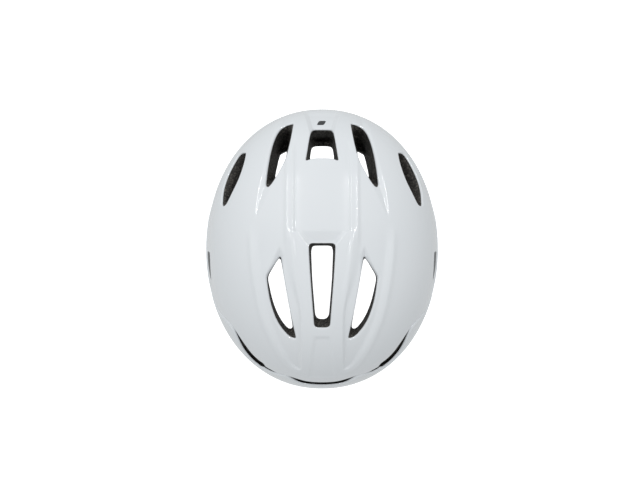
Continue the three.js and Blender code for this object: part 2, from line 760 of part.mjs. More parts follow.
// The cradle that cups the back of the head: two wings above the housing, and a slotted stem.
function cradle() {
  const [front, back] = [CRADLE_Y - CRADLE_THICK, CRADLE_Y];
  const stem = box(-STEM_HALF, front, DIAL.z + 20, STEM_HALF, back, STEM_TOP);
  const slotTop = GUIDE_LEVEL + SLOT_LENGTH;
  const slot = joined([
    box(-SLOT_HALF, front - 1, GUIDE_LEVEL, SLOT_HALF, back + 1, slotTop),
    rod("y", front - 1, back + 1, SLOT_HALF, 0, GUIDE_LEVEL, 16),
    rod("y", front - 1, back + 1, SLOT_HALF, 0, slotTop, 16),
  ]);
  return without(joined([cradleWings(), stem]), [slot]);
}
part("cradle", cradle(), "nylon");

// A soft oval on each wing, on the side of the head.
function occipitalPad() {
  const x = 26;
  const lean = Math.atan(2 * CRADLE_BEND * x);
  const depth = CRADLE_THICK + 3;
  const y = CRADLE_Y - CRADLE_BEND * x ** 2 - depth * Math.cos(lean);
  const pad = new THREE.CylinderGeometry(7.5, 7.5, 3.6, 20).scale(1.25, 1, 0.85).rotateZ(-lean);
  return pad.translate(x - depth * Math.sin(lean), y, DIAL.z + 24.5);
}
partPair("occipital_pad", occipitalPad(), "pad");

// The guide that the cradle's stem slides on, pinned into the liner.
function cradleGuide() {
  const onGuide = (from, to, radius) => rod("y", from, to, radius, 0, GUIDE_LEVEL, 14);
  const plate = box(-9, 100.6, GUIDE_LEVEL - 9, 9, 102.4, GUIDE_LEVEL + 9);
  const stub = onGuide(102, 111.8, STUB_RADIUS);
  return joined([plate, stub, onGuide(92, 102, 2)]);
}
part("cradle_guide", cradleGuide(), "nylon");

// The temple anchors, pinned into the liner, and the swivels that tilt on them.
const atTemple = (from, to, radius, sides) => rod("x", from, to, radius, TEMPLE.y, TEMPLE.z, sides);
function templeAnchor() {
  const stub = atTemple(69, 81.6, STUB_RADIUS, 14);
  return joined([atTemple(62, 68, 2.2, 14), atTemple(67.6, 69.4, 6.5, 20), stub]);
}
function swivel() {
  const { x, y, z } = TEMPLE;
  const tab = box(x - 0.9, y + 3, z - 5, x + 0.9, y + 8.6, z + 5);
  return without(joined([atTemple(63, 67.2, 5.6, 20), tab]), [atTemple(61, 69, 2.55, 14)]);
}
partPair("temple_anchor", templeAnchor(), "nylon");
partPair("band_swivel", swivel(), "nylon");

// ---------- side straps and dividers ----------

// A strap anchor: a plate under the rim with a barbed pin up into the liner.
function strapAnchor(at, turn) {
  const plate = new THREE.BoxGeometry(7, 19, 2.2).rotateZ(turn).translate(at.x, at.y, at.z - 1.7);
  return joined([plate, rod("z", at.z - 2, at.z + 12.5, PIN_RADIUS, at.x, at.y, 12)]);
}
partPair("front_anchor", strapAnchor(FRONT_ANCHOR, 0), "nylon");
partPair("rear_anchor", strapAnchor(REAR_ANCHOR, 0.35), "nylon");

// The direction from the divider to an anchor, seen from the side.
function towards(anchor) {
  return new THREE.Vector3(0, anchor.y - DIVIDER.y, anchor.z - 8 - DIVIDER.z).normalize();
}
const DIVIDER_REACH = 14; // from the divider's middle to the edge where a side strap enters
const DIVIDER_FOOT = 11; // and to its lower edge
const DIVIDER_THICK = 3.4;
const EDGE_HALF = 8.5;

// A side strap runs straight from just under its anchor to the divider's edge.
function sideStrap(anchor) {
  const way = towards(anchor);
  const across = new THREE.Vector3(0, way.z, -way.y);
  const foot = DIVIDER.clone().addScaledVector(way, DIVIDER_REACH + 0.6);
  const drop = 3.6 + (STRAP_WIDTH / 2) * Math.abs(way.y);
  const top = anchor.clone().add(new THREE.Vector3(0, 0, -drop));
  return ribbon([foot, foot.clone().lerp(top, 0.5), top], across, STRAP_WIDTH, STRAP_THICK);
}
partPair("front_strap", sideStrap(FRONT_ANCHOR), "webbing");
partPair("rear_strap", sideStrap(REAR_ANCHOR), "webbing");

// The divider: a flat body that joins both straps, with a cam lever on a pin across its middle.
const LEVER_PIVOT = DIVIDER.clone().add(new THREE.Vector3(4.2, 0, 6.5));
const LEVER_HALF = 5.9;
function dividerBody() {
  const outline = [new THREE.Vector2(-EDGE_HALF, -DIVIDER_FOOT), new THREE.Vector2(EDGE_HALF, -DIVIDER_FOOT)];
  for (const anchor of [REAR_ANCHOR, FRONT_ANCHOR]) {
    const way = towards(anchor);
    const middle = new THREE.Vector2(way.y, way.z).multiplyScalar(DIVIDER_REACH);
    const along = new THREE.Vector2(-way.z, way.y).multiplyScalar(EDGE_HALF);
    outline.push(middle.clone().sub(along), middle.clone().add(along));
  }
  const settings = { depth: DIVIDER_THICK, bevelEnabled: false };
  const plate = new THREE.ExtrudeGeometry(new THREE.Shape(outline), settings);
  plate.rotateX(Math.PI / 2).rotateZ(Math.PI / 2);
  plate.translate(DIVIDER.x - DIVIDER_THICK / 2, DIVIDER.y, DIVIDER.z);
  const { x, y, z } = LEVER_PIVOT;
  const ear = (from) => box(x - 3, from, z - 2, x + 1.8, from + 1.8, z + 2);
  return joined([plate, ear(y - 8.2), ear(y + 6.4), rod("y", y - 8, y + 8, 0.9, x, z, 12)]);
}
function dividerLever() {
  const { x, y, z } = LEVER_PIVOT;
  const barrel = rod("y", y - LEVER_HALF, y + LEVER_HALF, 2, x, z, 16);
  const arm = box(x - 0.4, y - LEVER_HALF, z - 15, x + 1.6, y + LEVER_HALF, z);
  return without(joined([barrel, arm]), [rod("y", y - 9, y + 9, 1.25, x, z, 12)]);
}
partPair("divider", dividerBody(), "buckle");
partPair("divider_lever", dividerLever(), "buckle");

// ---------- chin strap and buckle ----------

// The chin strap hangs from the dividers in a slack loop, as one curve from left to right.
const CHIN_TOP = DIVIDER.z - DIVIDER_FOOT - 0.5;
const LOOP_HALF = [[78, CHIN_TOP], [75, -190], [64.5, -208], [47, -222], [24, -231.5]];
const chinPoint = ([x, z]) => new THREE.Vector3(x, DIVIDER.y, z);
const chinCurve = new THREE.CatmullRomCurve3([
  ...LOOP_HALF.map(chinPoint),
  chinPoint([0, -235]),
  ...LOOP_HALF.map(([x, z]) => chinPoint([-x, z])).reverse(),
]);
const LOOP_LENGTH = chinCurve.getLength();
const FORE_AFT = new THREE.Vector3(0, 1, 0);

const BUCKLE_SHARE = 0.395; // where the buckle sits along the loop
const BUCKLE_HALF = 17;
const TAIL_SHARE = 0.54; // where the stretch sewn to the buckle's slider ends
const KEEPER_SHARE = 0.79;

// A stretch of the chin strap between two shares of the loop, from the first to the second.
function chinStretch(from, to, steps, width) {
  const path = [];
  for (let i = 0; i <= steps; i++)
    path.push(chinCurve.getPointAt(THREE.MathUtils.lerp(from, to, i / steps)));
  return ribbon(path, FORE_AFT, width, STRAP_THICK);
}

// The strap's upper end is round, so that it can swing under the divider.
function roundEnd(distance) {
  const radius = STRAP_WIDTH / 2;
  const inside = Math.max(0, radius - distance - 0.3);
  return 2 * Math.sqrt(radius ** 2 - inside ** 2);
}

// Puts a piece drawn flat about the origin onto the loop, its X along the strap.
function onLoop(geometry, share) {
  const at = chinCurve.getPointAt(share);
  const way = chinCurve.getTangentAt(share).negate();
  return geometry.rotateY(Math.atan2(-way.z, way.x)).translate(at.x, at.y, at.z);
}
const buckleReach = (BUCKLE_HALF + 1) / LOOP_LENGTH;

// The buckle's base holds a magnet and a rail. The slider leaves it sideways, along +Y.
function buckleBase() {
  const body = box(-14, -10.5, -4.4, BUCKLE_HALF, 10.5, -0.2);
  const rail = box(-12, -9, -0.4, -9, 10.4, 2.4);
  const farRail = box(9.5, -9, -0.4, 12.5, 10.4, 2.4);
  const stop = box(-12, -10.4, -0.4, 12.5, -8.6, 2.4);
  const bar = box(13, -10.5, -0.4, BUCKLE_HALF, 10.5, 1.6);
  const magnetHole = rod("z", -2.8, 1, 5.3, 0, 0);
  return without(joined([body, rail, farRail, stop, bar]), [magnetHole]);
}
function buckleSlider() {
  const tongue = box(-8.6, -8, 0.3, 9.1, 10.2, 3);
  const cover = box(-BUCKLE_HALF, -10.2, 2.8, 13, 10.2, 5.4);
  const bar = box(-BUCKLE_HALF, -10.2, -2, -14.6, 10.2, 3);
  const grip = box(-5, 10, 2.8, 9, 11.6, 7);
  const magnetHole = rod("z", 0, 1.9, 5.3, 0, 0);
  return without(joined([tongue, cover, bar, grip]), [magnetHole]);
}
const magnet = (from, to) => rod("z", from, to, 5, 0, 0);

// A rubber loop that keeps the strap's spare end.
function strapKeeper() {
  const outer = new THREE.BoxGeometry(5, STRAP_WIDTH + 5, 6.4);
  return without(outer, [new THREE.BoxGeometry(7, STRAP_WIDTH + 1.2, 3)]);
}

const tailGap = 0.4 / LOOP_LENGTH;
part("left_chin_strap", chinStretch(0, BUCKLE_SHARE - buckleReach, 14, roundEnd), "webbing");
part("right_chin_strap", chinStretch(1, TAIL_SHARE + tailGap, 18, roundEnd), "webbing");
part("chin_strap_loop", chinStretch(BUCKLE_SHARE + buckleReach, TAIL_SHARE, 2, STRAP_WIDTH), "webbing");
part("buckle_base", onLoop(buckleBase(), BUCKLE_SHARE), "buckle");
part("buckle_slider", onLoop(buckleSlider(), BUCKLE_SHARE), "buckle");
part("base_magnet", onLoop(magnet(-2.5, -0.6), BUCKLE_SHARE), "steel");
part("slider_magnet", onLoop(magnet(0.4, 1.6), BUCKLE_SHARE), "steel");
part("strap_keeper", onLoop(strapKeeper(), KEEPER_SHARE), "rubber");

export default helmet;
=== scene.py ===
"""A road cycling helmet seen from above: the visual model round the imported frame.

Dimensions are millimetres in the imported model's frame, and become metres as meshes are made.
The origin is where the crown of the head meets the pads, -Y is the front, +X the wearer's left.
Azimuths run round +Z from the front (0) through the wearer's left (90 degrees) to the rear (180).
"""

import json
import math

import bmesh
import bpy
import numpy as np
import openvdb
from mathutils import Matrix, Vector
from mathutils.geometry import delaunay_2d_cdt


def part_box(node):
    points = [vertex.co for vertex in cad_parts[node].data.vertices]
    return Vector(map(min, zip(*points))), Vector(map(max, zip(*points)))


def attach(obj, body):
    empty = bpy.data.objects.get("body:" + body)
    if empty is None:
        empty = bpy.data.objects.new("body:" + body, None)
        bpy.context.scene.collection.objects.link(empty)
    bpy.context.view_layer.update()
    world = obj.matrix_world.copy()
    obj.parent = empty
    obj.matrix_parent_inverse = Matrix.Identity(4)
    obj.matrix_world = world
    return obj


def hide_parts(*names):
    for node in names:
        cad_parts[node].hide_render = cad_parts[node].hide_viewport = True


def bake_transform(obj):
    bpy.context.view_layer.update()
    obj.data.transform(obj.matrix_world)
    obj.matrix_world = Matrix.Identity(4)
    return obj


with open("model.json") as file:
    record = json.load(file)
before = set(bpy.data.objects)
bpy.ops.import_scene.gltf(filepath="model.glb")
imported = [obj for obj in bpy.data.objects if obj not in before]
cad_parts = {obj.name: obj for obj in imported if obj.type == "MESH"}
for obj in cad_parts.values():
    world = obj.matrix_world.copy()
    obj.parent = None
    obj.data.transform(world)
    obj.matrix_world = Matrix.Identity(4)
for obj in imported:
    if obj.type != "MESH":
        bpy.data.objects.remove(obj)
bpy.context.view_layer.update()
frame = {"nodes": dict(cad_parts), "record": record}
MM = 0.001

# ---------- driving dimensions, as in the CAD ----------

HALF_WIDTH = 114.5
HALF_LENGTH = 139.0
CROWN = 36.0  # height of the crown
FRONT_LEVEL = -70.0  # height of the widest level in front
LEVEL_DROP = 22.0  # and its fall to the rear
FRONT_RIM = -93.0  # height of the rim in front
NAPE_DROP = 29.0
EAR_ARCH = 9.0
TEMPLE_DROP = 4.0
SEAM_ABOVE_RIM = 16.0  # of the seam between the shells, at the sides
SEAM_REAR = -46.0  # height of the seam round the rear
SEAM_SHOULDER = 16.0  # how much higher it starts, ahead of the side port
SEAM_HUMP = 8.0  # and how much it rises between the ports
PLAN_POWER = 2.1  # of the superellipse that the plan is
PROFILE_POWER = 2.3
TUCK = 0.22  # lean of the skin below its widest level, as a share of the drop
RIM_ROUND = 5.0  # radius of the rounded rim
RIM_LIP = 5.0  # width of the lip under it
SKIN = 1.2  # thickness of the shells
HEAD_HALF_WIDTH = 82.0  # of the cavity, at HEAD_LEVEL and below
HEAD_HALF_LENGTH = 106.5
HEAD_CROWN = 8.0
HEAD_LEVEL = -80.0
HEAD_POWER = 2.4
HEAD_FLARE = 0.06  # how fast the cavity widens below HEAD_LEVEL


# ---------- the helmet's surfaces ----------


def smoothstep(x, start, end):
    """0 before start, 1 after end, with an eased rise between them."""
    share = np.clip((np.asarray(x, dtype=float) - start) / (end - start), 0.0, 1.0)
    return share * share * (3.0 - 2.0 * share)


def bump(x, middle, width):
    """A bell curve, 1 high at its middle."""
    return np.exp(-(((x - middle) / width) ** 2))


def superellipse(azimuth, half_width, half_length, power):
    across = np.abs(np.sin(azimuth) / half_width) ** power
    along = np.abs(np.cos(azimuth) / half_length) ** power
    return (across + along) ** (-1.0 / power)


def plan_radius(azimuth):
    return superellipse(azimuth, HALF_WIDTH, HALF_LENGTH, PLAN_POWER)


def head_radius(azimuth):
    return superellipse(azimuth, HEAD_HALF_WIDTH, HEAD_HALF_LENGTH, HEAD_POWER)


def widest_level(azimuth):
    """Height where the helmet is widest: it falls towards the rear."""
    return FRONT_LEVEL - LEVEL_DROP * ((1.0 - np.cos(azimuth)) / 2.0) ** 2


def turn_of(azimuth):
    """How far a direction is from straight ahead, in degrees."""
    return np.degrees(np.abs(np.arctan2(np.sin(azimuth), np.cos(azimuth))))


def rim_level(azimuth):
    """Height of the rim: arched over the ears, lower at the temples and lowest at the nape."""
    turn = turn_of(azimuth)
    rear = NAPE_DROP * smoothstep(turn, 95.0, 150.0)
    return FRONT_RIM - rear + EAR_ARCH * bump(turn, 92.0, 22.0) - TEMPLE_DROP * bump(turn, 50.0, 25.0)


def seam_level(azimuth):
    """Height of the seam between the shells: low at the sides, and high round the rear ports."""
    turn = turn_of(azimuth)
    shoulder = SEAM_SHOULDER * (1.0 - smoothstep(turn, 131.0, 150.0))
    rear = SEAM_REAR + shoulder + SEAM_HUMP * bump(turn, 164.5, 5.0)
    low = rim_level(azimuth) + SEAM_ABOVE_RIM
    share = smoothstep(turn, 108.0, 131.0)
    return low + (rear - low) * share


def dome(share, low, high, power):
    """A domed profile: high where the share is 0, and low where it is 1."""
    return low + (high - low) * (1.0 - np.clip(share, 0.0, 1.0) ** power) ** (1.0 / power)


def skin_height(x, y):
    """Height of the outer surface over a point of the plan."""
    azimuth = np.arctan2(x, -y)
    return dome(np.hypot(x, y) / plan_radius(azimuth), widest_level(azimuth), CROWN, PROFILE_POWER)


def cavity_height(x, y):
    """Height of the cavity's wall over a point of the plan."""
    azimuth = np.arctan2(x, -y)
    return dome(np.hypot(x, y) / head_radius(azimuth), HEAD_LEVEL, HEAD_CROWN, HEAD_POWER)


def polar(azimuth, radius, z):
    return np.stack([radius * np.sin(azimuth), -radius * np.cos(azimuth), z + 0.0 * radius], axis=-1)


# ---------- the shell's flat chart ----------
# The shells are triangulated on a flat chart and then raised. On the chart a point keeps its azimuth.
# Its radius is the distance run down the skin: a round part down to the widest level, and outside
# it a ring of fixed width for the tuck, the rounded rim and the lip under it.

CHART_RADIUS = 127.0  # plan radius of the meridian that sets the chart's scale
CHART_HEIGHT = 112.0
RING_WIDTH = 36.0
TUCK_SHARE = 0.6  # of the ring
ROUND_SHARE = 0.86

ANGLES = (np.linspace(0.0, 1.0, 2001) ** 1.15) * (math.pi / 2)
_run = np.stack(
    [
        CHART_RADIUS * np.sin(ANGLES) ** (2 / PROFILE_POWER),
        CHART_HEIGHT * np.cos(ANGLES) ** (2 / PROFILE_POWER),
    ]
)
CHART_RUN = np.concatenate([[0.0], np.cumsum(np.hypot(*np.diff(_run, axis=1)))])


def chart_scale(azimuth):
    return plan_radius(azimuth) / CHART_RADIUS


def chart_edge(azimuth):
    """Chart radius of the widest level."""
    return CHART_RUN[-1] * chart_scale(azimuth)


def chart_radius_at(azimuth, z):
    """Chart radius of a height on the skin."""
    level = widest_level(azimuth)
    share = np.clip((z - level) / (CROWN - level), 0.0, 1.0)
    angle = np.arccos(share ** (PROFILE_POWER / 2))
    above = np.interp(angle, ANGLES, CHART_RUN) * chart_scale(azimuth)
    floor = rim_level(azimuth) + RIM_ROUND
    below = chart_edge(azimuth) + RING_WIDTH * TUCK_SHARE * (level - z) / (level - floor)
    return np.where(z >= level, above, below)


def chart_point(azimuth, radius):
    return np.stack([radius * np.sin(azimuth), -radius * np.cos(azimuth)], axis=-1)


def chart_of_plan(x, y):
    """Chart point of a point of the plan, on the skin above the widest level."""
    azimuth = np.arctan2(x, -np.asarray(y, dtype=float))
    share = np.clip(np.hypot(x, y) / plan_radius(azimuth), 0.0, 1.0)
    angle = np.arcsin(share ** (PROFILE_POWER / 2))
    return chart_point(azimuth, np.interp(angle, ANGLES, CHART_RUN) * chart_scale(azimuth))


def skin_point(u, v):
    """The point of the smooth skin over a chart point."""
    azimuth = np.arctan2(u, -v)
    radius = np.hypot(u, v)
    reach = plan_radius(azimuth)
    level = widest_level(azimuth)
    floor = rim_level(azimuth) + RIM_ROUND
    angle = np.interp(radius / chart_scale(azimuth), CHART_RUN, ANGLES)
    r = reach * np.sin(angle) ** (2 / PROFILE_POWER)
    z = level + (CROWN - level) * np.clip(np.cos(angle), 0, 1) ** (2 / PROFILE_POWER)
    share = np.clip((radius - chart_edge(azimuth)) / RING_WIDTH, 0.0, 1.0)
    tuck = np.clip(share / TUCK_SHARE, 0.0, 1.0)
    z = np.where(share > 0, level + (floor - level) * tuck, z)
    r = np.where(share > 0, reach - TUCK * (level - floor) * tuck**2, r)
    curl = np.clip((share - TUCK_SHARE) / (ROUND_SHARE - TUCK_SHARE), 0.0, 1.0) * (math.pi / 2)
    r = r - RIM_ROUND * (1.0 - np.cos(curl))
    z = z - RIM_ROUND * np.sin(curl)
    r = r - RIM_LIP * np.clip((share - ROUND_SHARE) / (1.0 - ROUND_SHARE), 0.0, 1.0)
    return polar(azimuth, r, z)


def skin_normal(u, v):
    step = 0.4
    along = skin_point(u + step, v) - skin_point(u - step, v)
    across = skin_point(u, v + step) - skin_point(u, v - step)
    normal = np.cross(along, across)
    return normal / np.linalg.norm(normal, axis=-1, keepdims=True)


# ---------- outlines ----------


def rounded(corners, spacing=1.1):
    """A closed outline through straight sides, each corner [x, y, rounding] eased by a curve that
    starts that far from it, or half a side away where the side is short."""
    points = np.array([c[:2] for c in corners], dtype=float)
    count = len(points)
    outline = []
    for i, corner in enumerate(points):
        ends = []
        for other in (points[i - 1], points[(i + 1) % count]):
            side = np.linalg.norm(other - corner)
            share = min(0.5, corners[i][2] / side)
            ends.append(corner + (other - corner) * share)
        length = np.linalg.norm(ends[0] - corner) + np.linalg.norm(ends[1] - corner)
        steps = max(2, int(round(length / spacing)))
        for step in range(steps + 1):
            s = step / steps
            outline.append((1 - s) ** 2 * ends[0] + 2 * s * (1 - s) * corner + s**2 * ends[1])
    return evenly(np.array(outline), spacing)


def run_along(line):
    """Distance along a line, at each of its points."""
    return np.concatenate([[0.0], np.cumsum(np.linalg.norm(np.diff(line, axis=0), axis=1))])


def points_at(line, run, at):
    """Points of a line at distances along it."""
    return np.stack([np.interp(at, run, column) for column in line.T], axis=-1)


def evenly(outline, spacing):
    """A closed outline resampled at even steps."""
    closed = np.vstack([outline, outline[:1]])
    run = run_along(closed)
    keep = np.concatenate([[True], np.diff(run) > 1e-9])
    count = int(round(run[-1] / spacing))
    return points_at(closed[keep], run[keep], np.arange(count) / count * run[-1])


def resample(line, spacing):
    """An open line resampled at even steps."""
    run = run_along(line)
    count = max(2, int(round(run[-1] / spacing)))
    return points_at(line, run, np.linspace(0.0, run[-1], count + 1))


def line_distance(line, x, y):
    """Distance to the nearest point of a line of straight stretches."""
    best = np.full(np.shape(x), 1e9)
    for a, b in zip(line, line[1:]):
        side = b - a
        along = ((x - a[0]) * side[0] + (y - a[1]) * side[1]) / max(side @ side, 1e-12)
        along = np.clip(along, 0.0, 1.0)
        best = np.minimum(best, (x - a[0] - along * side[0]) ** 2 + (y - a[1] - along * side[1]) ** 2)
    return np.sqrt(best)


def is_inside(outline, x, y):
    inside = np.zeros(np.shape(x), dtype=bool)
    for a, b in zip(outline, np.roll(outline, -1, axis=0)):
        if a[1] != b[1]:
            crosses = (a[1] > y) != (b[1] > y)
            inside ^= crosses & (x < a[0] + (y - a[1]) / (b[1] - a[1]) * (b[0] - a[0]))
    return inside


def inside_distance(outline, x, y):
    """How far points are inside a closed outline; negative outside it."""
    closed = np.vstack([outline, outline[:1]])
    return np.where(is_inside(outline, x, y), 1.0, -1.0) * line_distance(closed, x, y)


# Vent edges on the plan as [x, y, rounding, wall x, wall y]: the last two are where the foam's wall
# from that corner reaches the cavity. The side vents are the left ones.
FRONT_CENTRE_VENT = [
    [-9.5, -116.2, 3, -9.6, -99.8], [9.5, -116.2, 3, 9.6, -99.8], [11.8, -110, 5, 10.2, -96],
    [15.8, -85, 1, 11.4, -86], [9, -87.6, 6, 8, -88.4], [-9, -87.6, 6, -8, -88.4],
    [-15.8, -85, 1, -11.4, -86], [-11.8, -110, 5, -10.2, -96],
]
FRONT_SIDE_VENT = [
    [28.2, -122.8, 1, 35, -96], [30.5, -107, 12, 35.3, -92], [35.2, -86.5, 9, 36.2, -85.6],
    [46, -66.8, 7, 44.0, -70.0], [51.5, -59.5, 3, 44.9, -68.8], [54.2, -60.5, 3, 45.1, -70],
    [52.6, -78, 12, 43.0, -80], [48.6, -101, 12, 41.3, -88.5], [42.5, -116.5, 9, 40.0, -92.5],
    [35, -121.5, 4, 37.5, -96],
]
REAR_SIDE_VENT = [
    [39.8, 6.2, 2, 40.6, 8], [37.8, 20, 9, 38.2, 20], [31.2, 58, 14, 31.8, 55],
    [25.2, 86, 1.2, 30.6, 70.5], [31.5, 84.6, 6, 33, 70], [42.8, 71.5, 12, 38.2, 62.5],
    [49.8, 52, 14, 44.9, 49.5], [52.8, 33, 9, 49.2, 33.5], [53.1, 25.5, 3.5, 50.9, 27],
]
REAR_CENTRE_VENT = [
    [-12.8, -6, 4, -9.9, -1], [12.8, -6, 4, 9.9, -1], [11.6, 20, 20, 8.5, 20],
    [7.4, 74.8, 4, 4.6, 60.5], [-7.4, 74.8, 4, -4.6, 60.5], [-11.6, 20, 20, -8.5, 20],
]
FAR_SIDE_VENT = [
    [74.4, -94.6, 2.5], [75.9, -84, 8], [80.8, -68.5, 8], [87.0, -56, 9], [93.6, -42.8, 4],
    [97.8, -41.8, 3], [97.4, -57, 9], [93.6, -70, 9], [86.8, -84.5, 9], [80.6, -94, 4],
]

# ---------- relief ----------
# Where the shell's surface stands above or below the smooth skin, over points of the plan (left
# half; the right half mirrors it).

CHANNEL_HALF = 24.6
CHANNEL_DEPTH = 1.7
RAIL_OUTSIDE = 33.8
RAIL_STEP = 1.0  # from a rail's outer edge down to the panel
RAIL_RISE = 0.55  # from a rail's inner edge to its outer edge
RIDGE = 1.1  # height of the ridge round the rear panel
CREASE = -17.5  # y where the channel's floor turns down towards the rear centre vent
FLOOR_END = [
    [-24.6, -40, 1], [24.6, -40, 1], [24.6, -17.0, 2], [13.2, -3, 4], [-13.2, -3, 4], [-24.6, -17.0, 2],
]
LEAF = [
    [33.8, -136, 3], [33.8, -92, 6], [38.6, -79, 8], [52.0, -53.5, 10], [62.9, -28.5, 1.0],
    [63.8, -40, 6], [60.5, -62, 10], [55.2, -82, 12], [50, -104, 10], [41, -136, 4],
]
SCOOP = [[-20.5, -142, 3], [20.5, -142, 3], [13.4, -117, 2], [10, -104, 2], [-10, -104, 2], [-13.4, -117, 2]]
TIP_RECESS = [[40.4, -5.5, 3], [34.5, 7, 5], [36, 24, 5], [50, 36, 5], [57, 28, 5], [50, 14, 8]]
PANEL = [
    [34, -30, 6], [65.8, -28, 4], [66.2, 0, 12], [62.9, 30, 12], [57.0, 62, 14], [45, 93, 14],
    [32, 114, 8], [19.5, 119, 4], [19.0, 60, 10], [28, 20, 12],
]
REAR_GROOVE = [[-8.6, 82, 3], [8.6, 82, 3], [15.0, 127, 3], [-15.0, 127, 3]]
# Each recess's depth, and the width of the wall that goes down to it.
LEAF_SINK = (3.6, 9.0)
SCOOP_SINK = (6.2, 4.6)
TIP_SINK = (4.2, 7.0)
GROOVE_SINK = (1.3, 4.2)
PANEL_DROP = 2.2
PANEL_REAR_DROP = 0.8  # what the panel's rear end adds to that


def eased(corners):
    return rounded(corners, 2.5)


def sunk(corners, x, y, depth, wall):
    """A recess: it goes down to its depth over the width of its wall, inside the outline."""
    return -depth * smoothstep(inside_distance(eased(corners), x, y), 0.0, wall)


def facet(corners, x, y, depth, wall):
    """A recess with flat, sloping walls and crisp creases."""
    return -depth * np.clip(inside_distance(eased(corners), x, y) / wall, 0.0, 1.0)


def relief_field(x, y):
    h = np.zeros_like(x)
    started = smoothstep(y, -112.0, -92.0)
    # the centre channel, and the slope from its crease down to the rear centre vent
    sides = 1.0 - smoothstep(x, CHANNEL_HALF + 0.2, CHANNEL_HALF + 3.6)
    ahead = 1.0 - smoothstep(y, CREASE - 0.6, CREASE + 0.6)
    h -= CHANNEL_DEPTH * sides * started * ahead
    behind = (1.0 - ahead) * (y < 30.0)
    fall = CHANNEL_DEPTH + 0.28 * np.clip(y - CREASE, 0.0, 14.0)
    h -= behind * fall * smoothstep(inside_distance(eased(FLOOR_END), x, y), 0.0, 5.0)
    # the rails beside the channel: their outer edges step down to the panels
    rail_end = 1.0 - smoothstep(y, -13.0, -5.0)
    step = smoothstep(x, RAIL_OUTSIDE - 0.4, RAIL_OUTSIDE + 3.6) * (1.0 - smoothstep(x, 40.0, 78.0))
    h -= RAIL_STEP * step * started * (1.0 - smoothstep(y, -26.0, 6.0))
    top = np.clip((x - CHANNEL_HALF - 3.4) / 5.6, 0.0, 1.0)
    top *= 1.0 - smoothstep(x, RAIL_OUTSIDE - 0.4, RAIL_OUTSIDE + 3.0)
    h += RAIL_RISE * top * started * rail_end
    # the leaf round each front side vent
    h += facet(LEAF, x, y, *LEAF_SINK)
    # the scoop in front of the centre vent
    h += facet(SCOOP, x, y, *SCOOP_SINK) * smoothstep(y, -139.0, -129.0)
    # the rear side vents: a dip at their front tips, and the lowered panel that they stand in
    h += sunk(TIP_RECESS, x, y, *TIP_SINK)
    panel = inside_distance(eased(PANEL), x, y)
    wall = 3.2 + 3.4 * smoothstep(x, 22.0, 34.0)
    drop = PANEL_DROP * smoothstep(y, -30.0, 10.0) + PANEL_REAR_DROP * smoothstep(y, 55.0, 85.0)
    h -= drop * smoothstep(panel / wall, 0.0, 1.0)
    h += RIDGE * bump(panel, -2.5, 2.6) * smoothstep(x, 17.0, 26.0) * smoothstep(y, -26.0, -6.0)
    # the groove along the rear centre line
    h += sunk(REAR_GROOVE, x, y, *GROOVE_SINK)
    return h


RASTER_STEP = 0.6
RASTER_X = np.arange(0.0, HALF_WIDTH + 3.0, RASTER_STEP)
RASTER_Y = np.arange(-HALF_LENGTH - 3.0, HALF_LENGTH + 3.0, RASTER_STEP)
RASTER = relief_field(*np.meshgrid(RASTER_X, RASTER_Y, indexing="ij"))


def relief(x, y):
    """The relief over points of the plan, read from the raster."""
    i = np.clip(np.abs(x) / RASTER_STEP, 0.0, len(RASTER_X) - 1.001)
    j = np.clip((y - RASTER_Y[0]) / RASTER_STEP, 0.0, len(RASTER_Y) - 1.001)
    i0, j0 = i.astype(int), j.astype(int)
    fi, fj = i - i0, j - j0
    near = RASTER[i0, j0] * (1 - fj) + RASTER[i0, j0 + 1] * fj
    far = RASTER[i0 + 1, j0] * (1 - fj) + RASTER[i0 + 1, j0 + 1] * fj
    return near * (1 - fi) + far * fi


# ---------- building meshes ----------


def mesh_object(name, points, faces):
    """An object from points in millimetres."""
    mesh = bpy.data.meshes.new(name)
    places = (np.asarray(points, dtype=float) * MM).tolist()
    mesh.from_pydata(places, [], [list(map(int, f)) for f in faces])
    mesh.validate()
    mesh.polygons.foreach_set("use_smooth", [True] * len(mesh.polygons))
    obj = bpy.data.objects.new(name, mesh)
    bpy.context.scene.collection.objects.link(obj)
    return obj


def edit_mesh(obj, work):
    """Runs a function on the object's mesh, opened as a bmesh."""
    made = bmesh.new()
    made.from_mesh(obj.data)
    work(made)
    made.to_mesh(obj.data)
    made.free()


def face_outwards(obj):
    edit_mesh(obj, lambda made: bmesh.ops.recalc_face_normals(made, faces=made.faces))


def apply_modifiers(obj):
    graph = bpy.context.evaluated_depsgraph_get()
    made = bpy.data.meshes.new_from_object(obj.evaluated_get(graph))
    old = obj.data
    obj.modifiers.clear()
    obj.data = made
    bpy.data.meshes.remove(old)


def twinned(faces, shared):
    """A surface's triangles with those of its twin, whose own points follow the surface's points.

    shared says which points are in both."""
    other = np.arange(len(shared))
    other[~shared] = len(shared) + np.arange(int((~shared).sum()))
    return np.vstack([faces, other[faces][:, ::-1]])


def filled(outline, inner):
    """Triangles over a closed outline with points inside it: the flat points, and the faces."""
    edges = [(i, (i + 1) % len(outline)) for i in range(len(outline))]
    points = [Vector(p) for p in np.vstack([outline, inner])]
    made = delaunay_2d_cdt(points, edges, [], 1, 1e-5, False)
    return np.array([[p.x, p.y] for p in made[0]]), np.array(made[2])


def tube_faces(rings, size, first=0):
    """Faces of a closed tube: rings of points in turn from a first point, and a cap at each end."""
    faces = []
    for ring in range(first, first + (rings - 1) * size, size):
        for k in range(size):
            a, b = ring + k, ring + (k + 1) % size
            faces.append((a, b, b + size, a + size))
    last = first + (rings - 1) * size
    faces.append(tuple(range(first, first + size))[::-1])
    faces.append(tuple(range(last, last + size)))
    return faces


# ---------- shells ----------

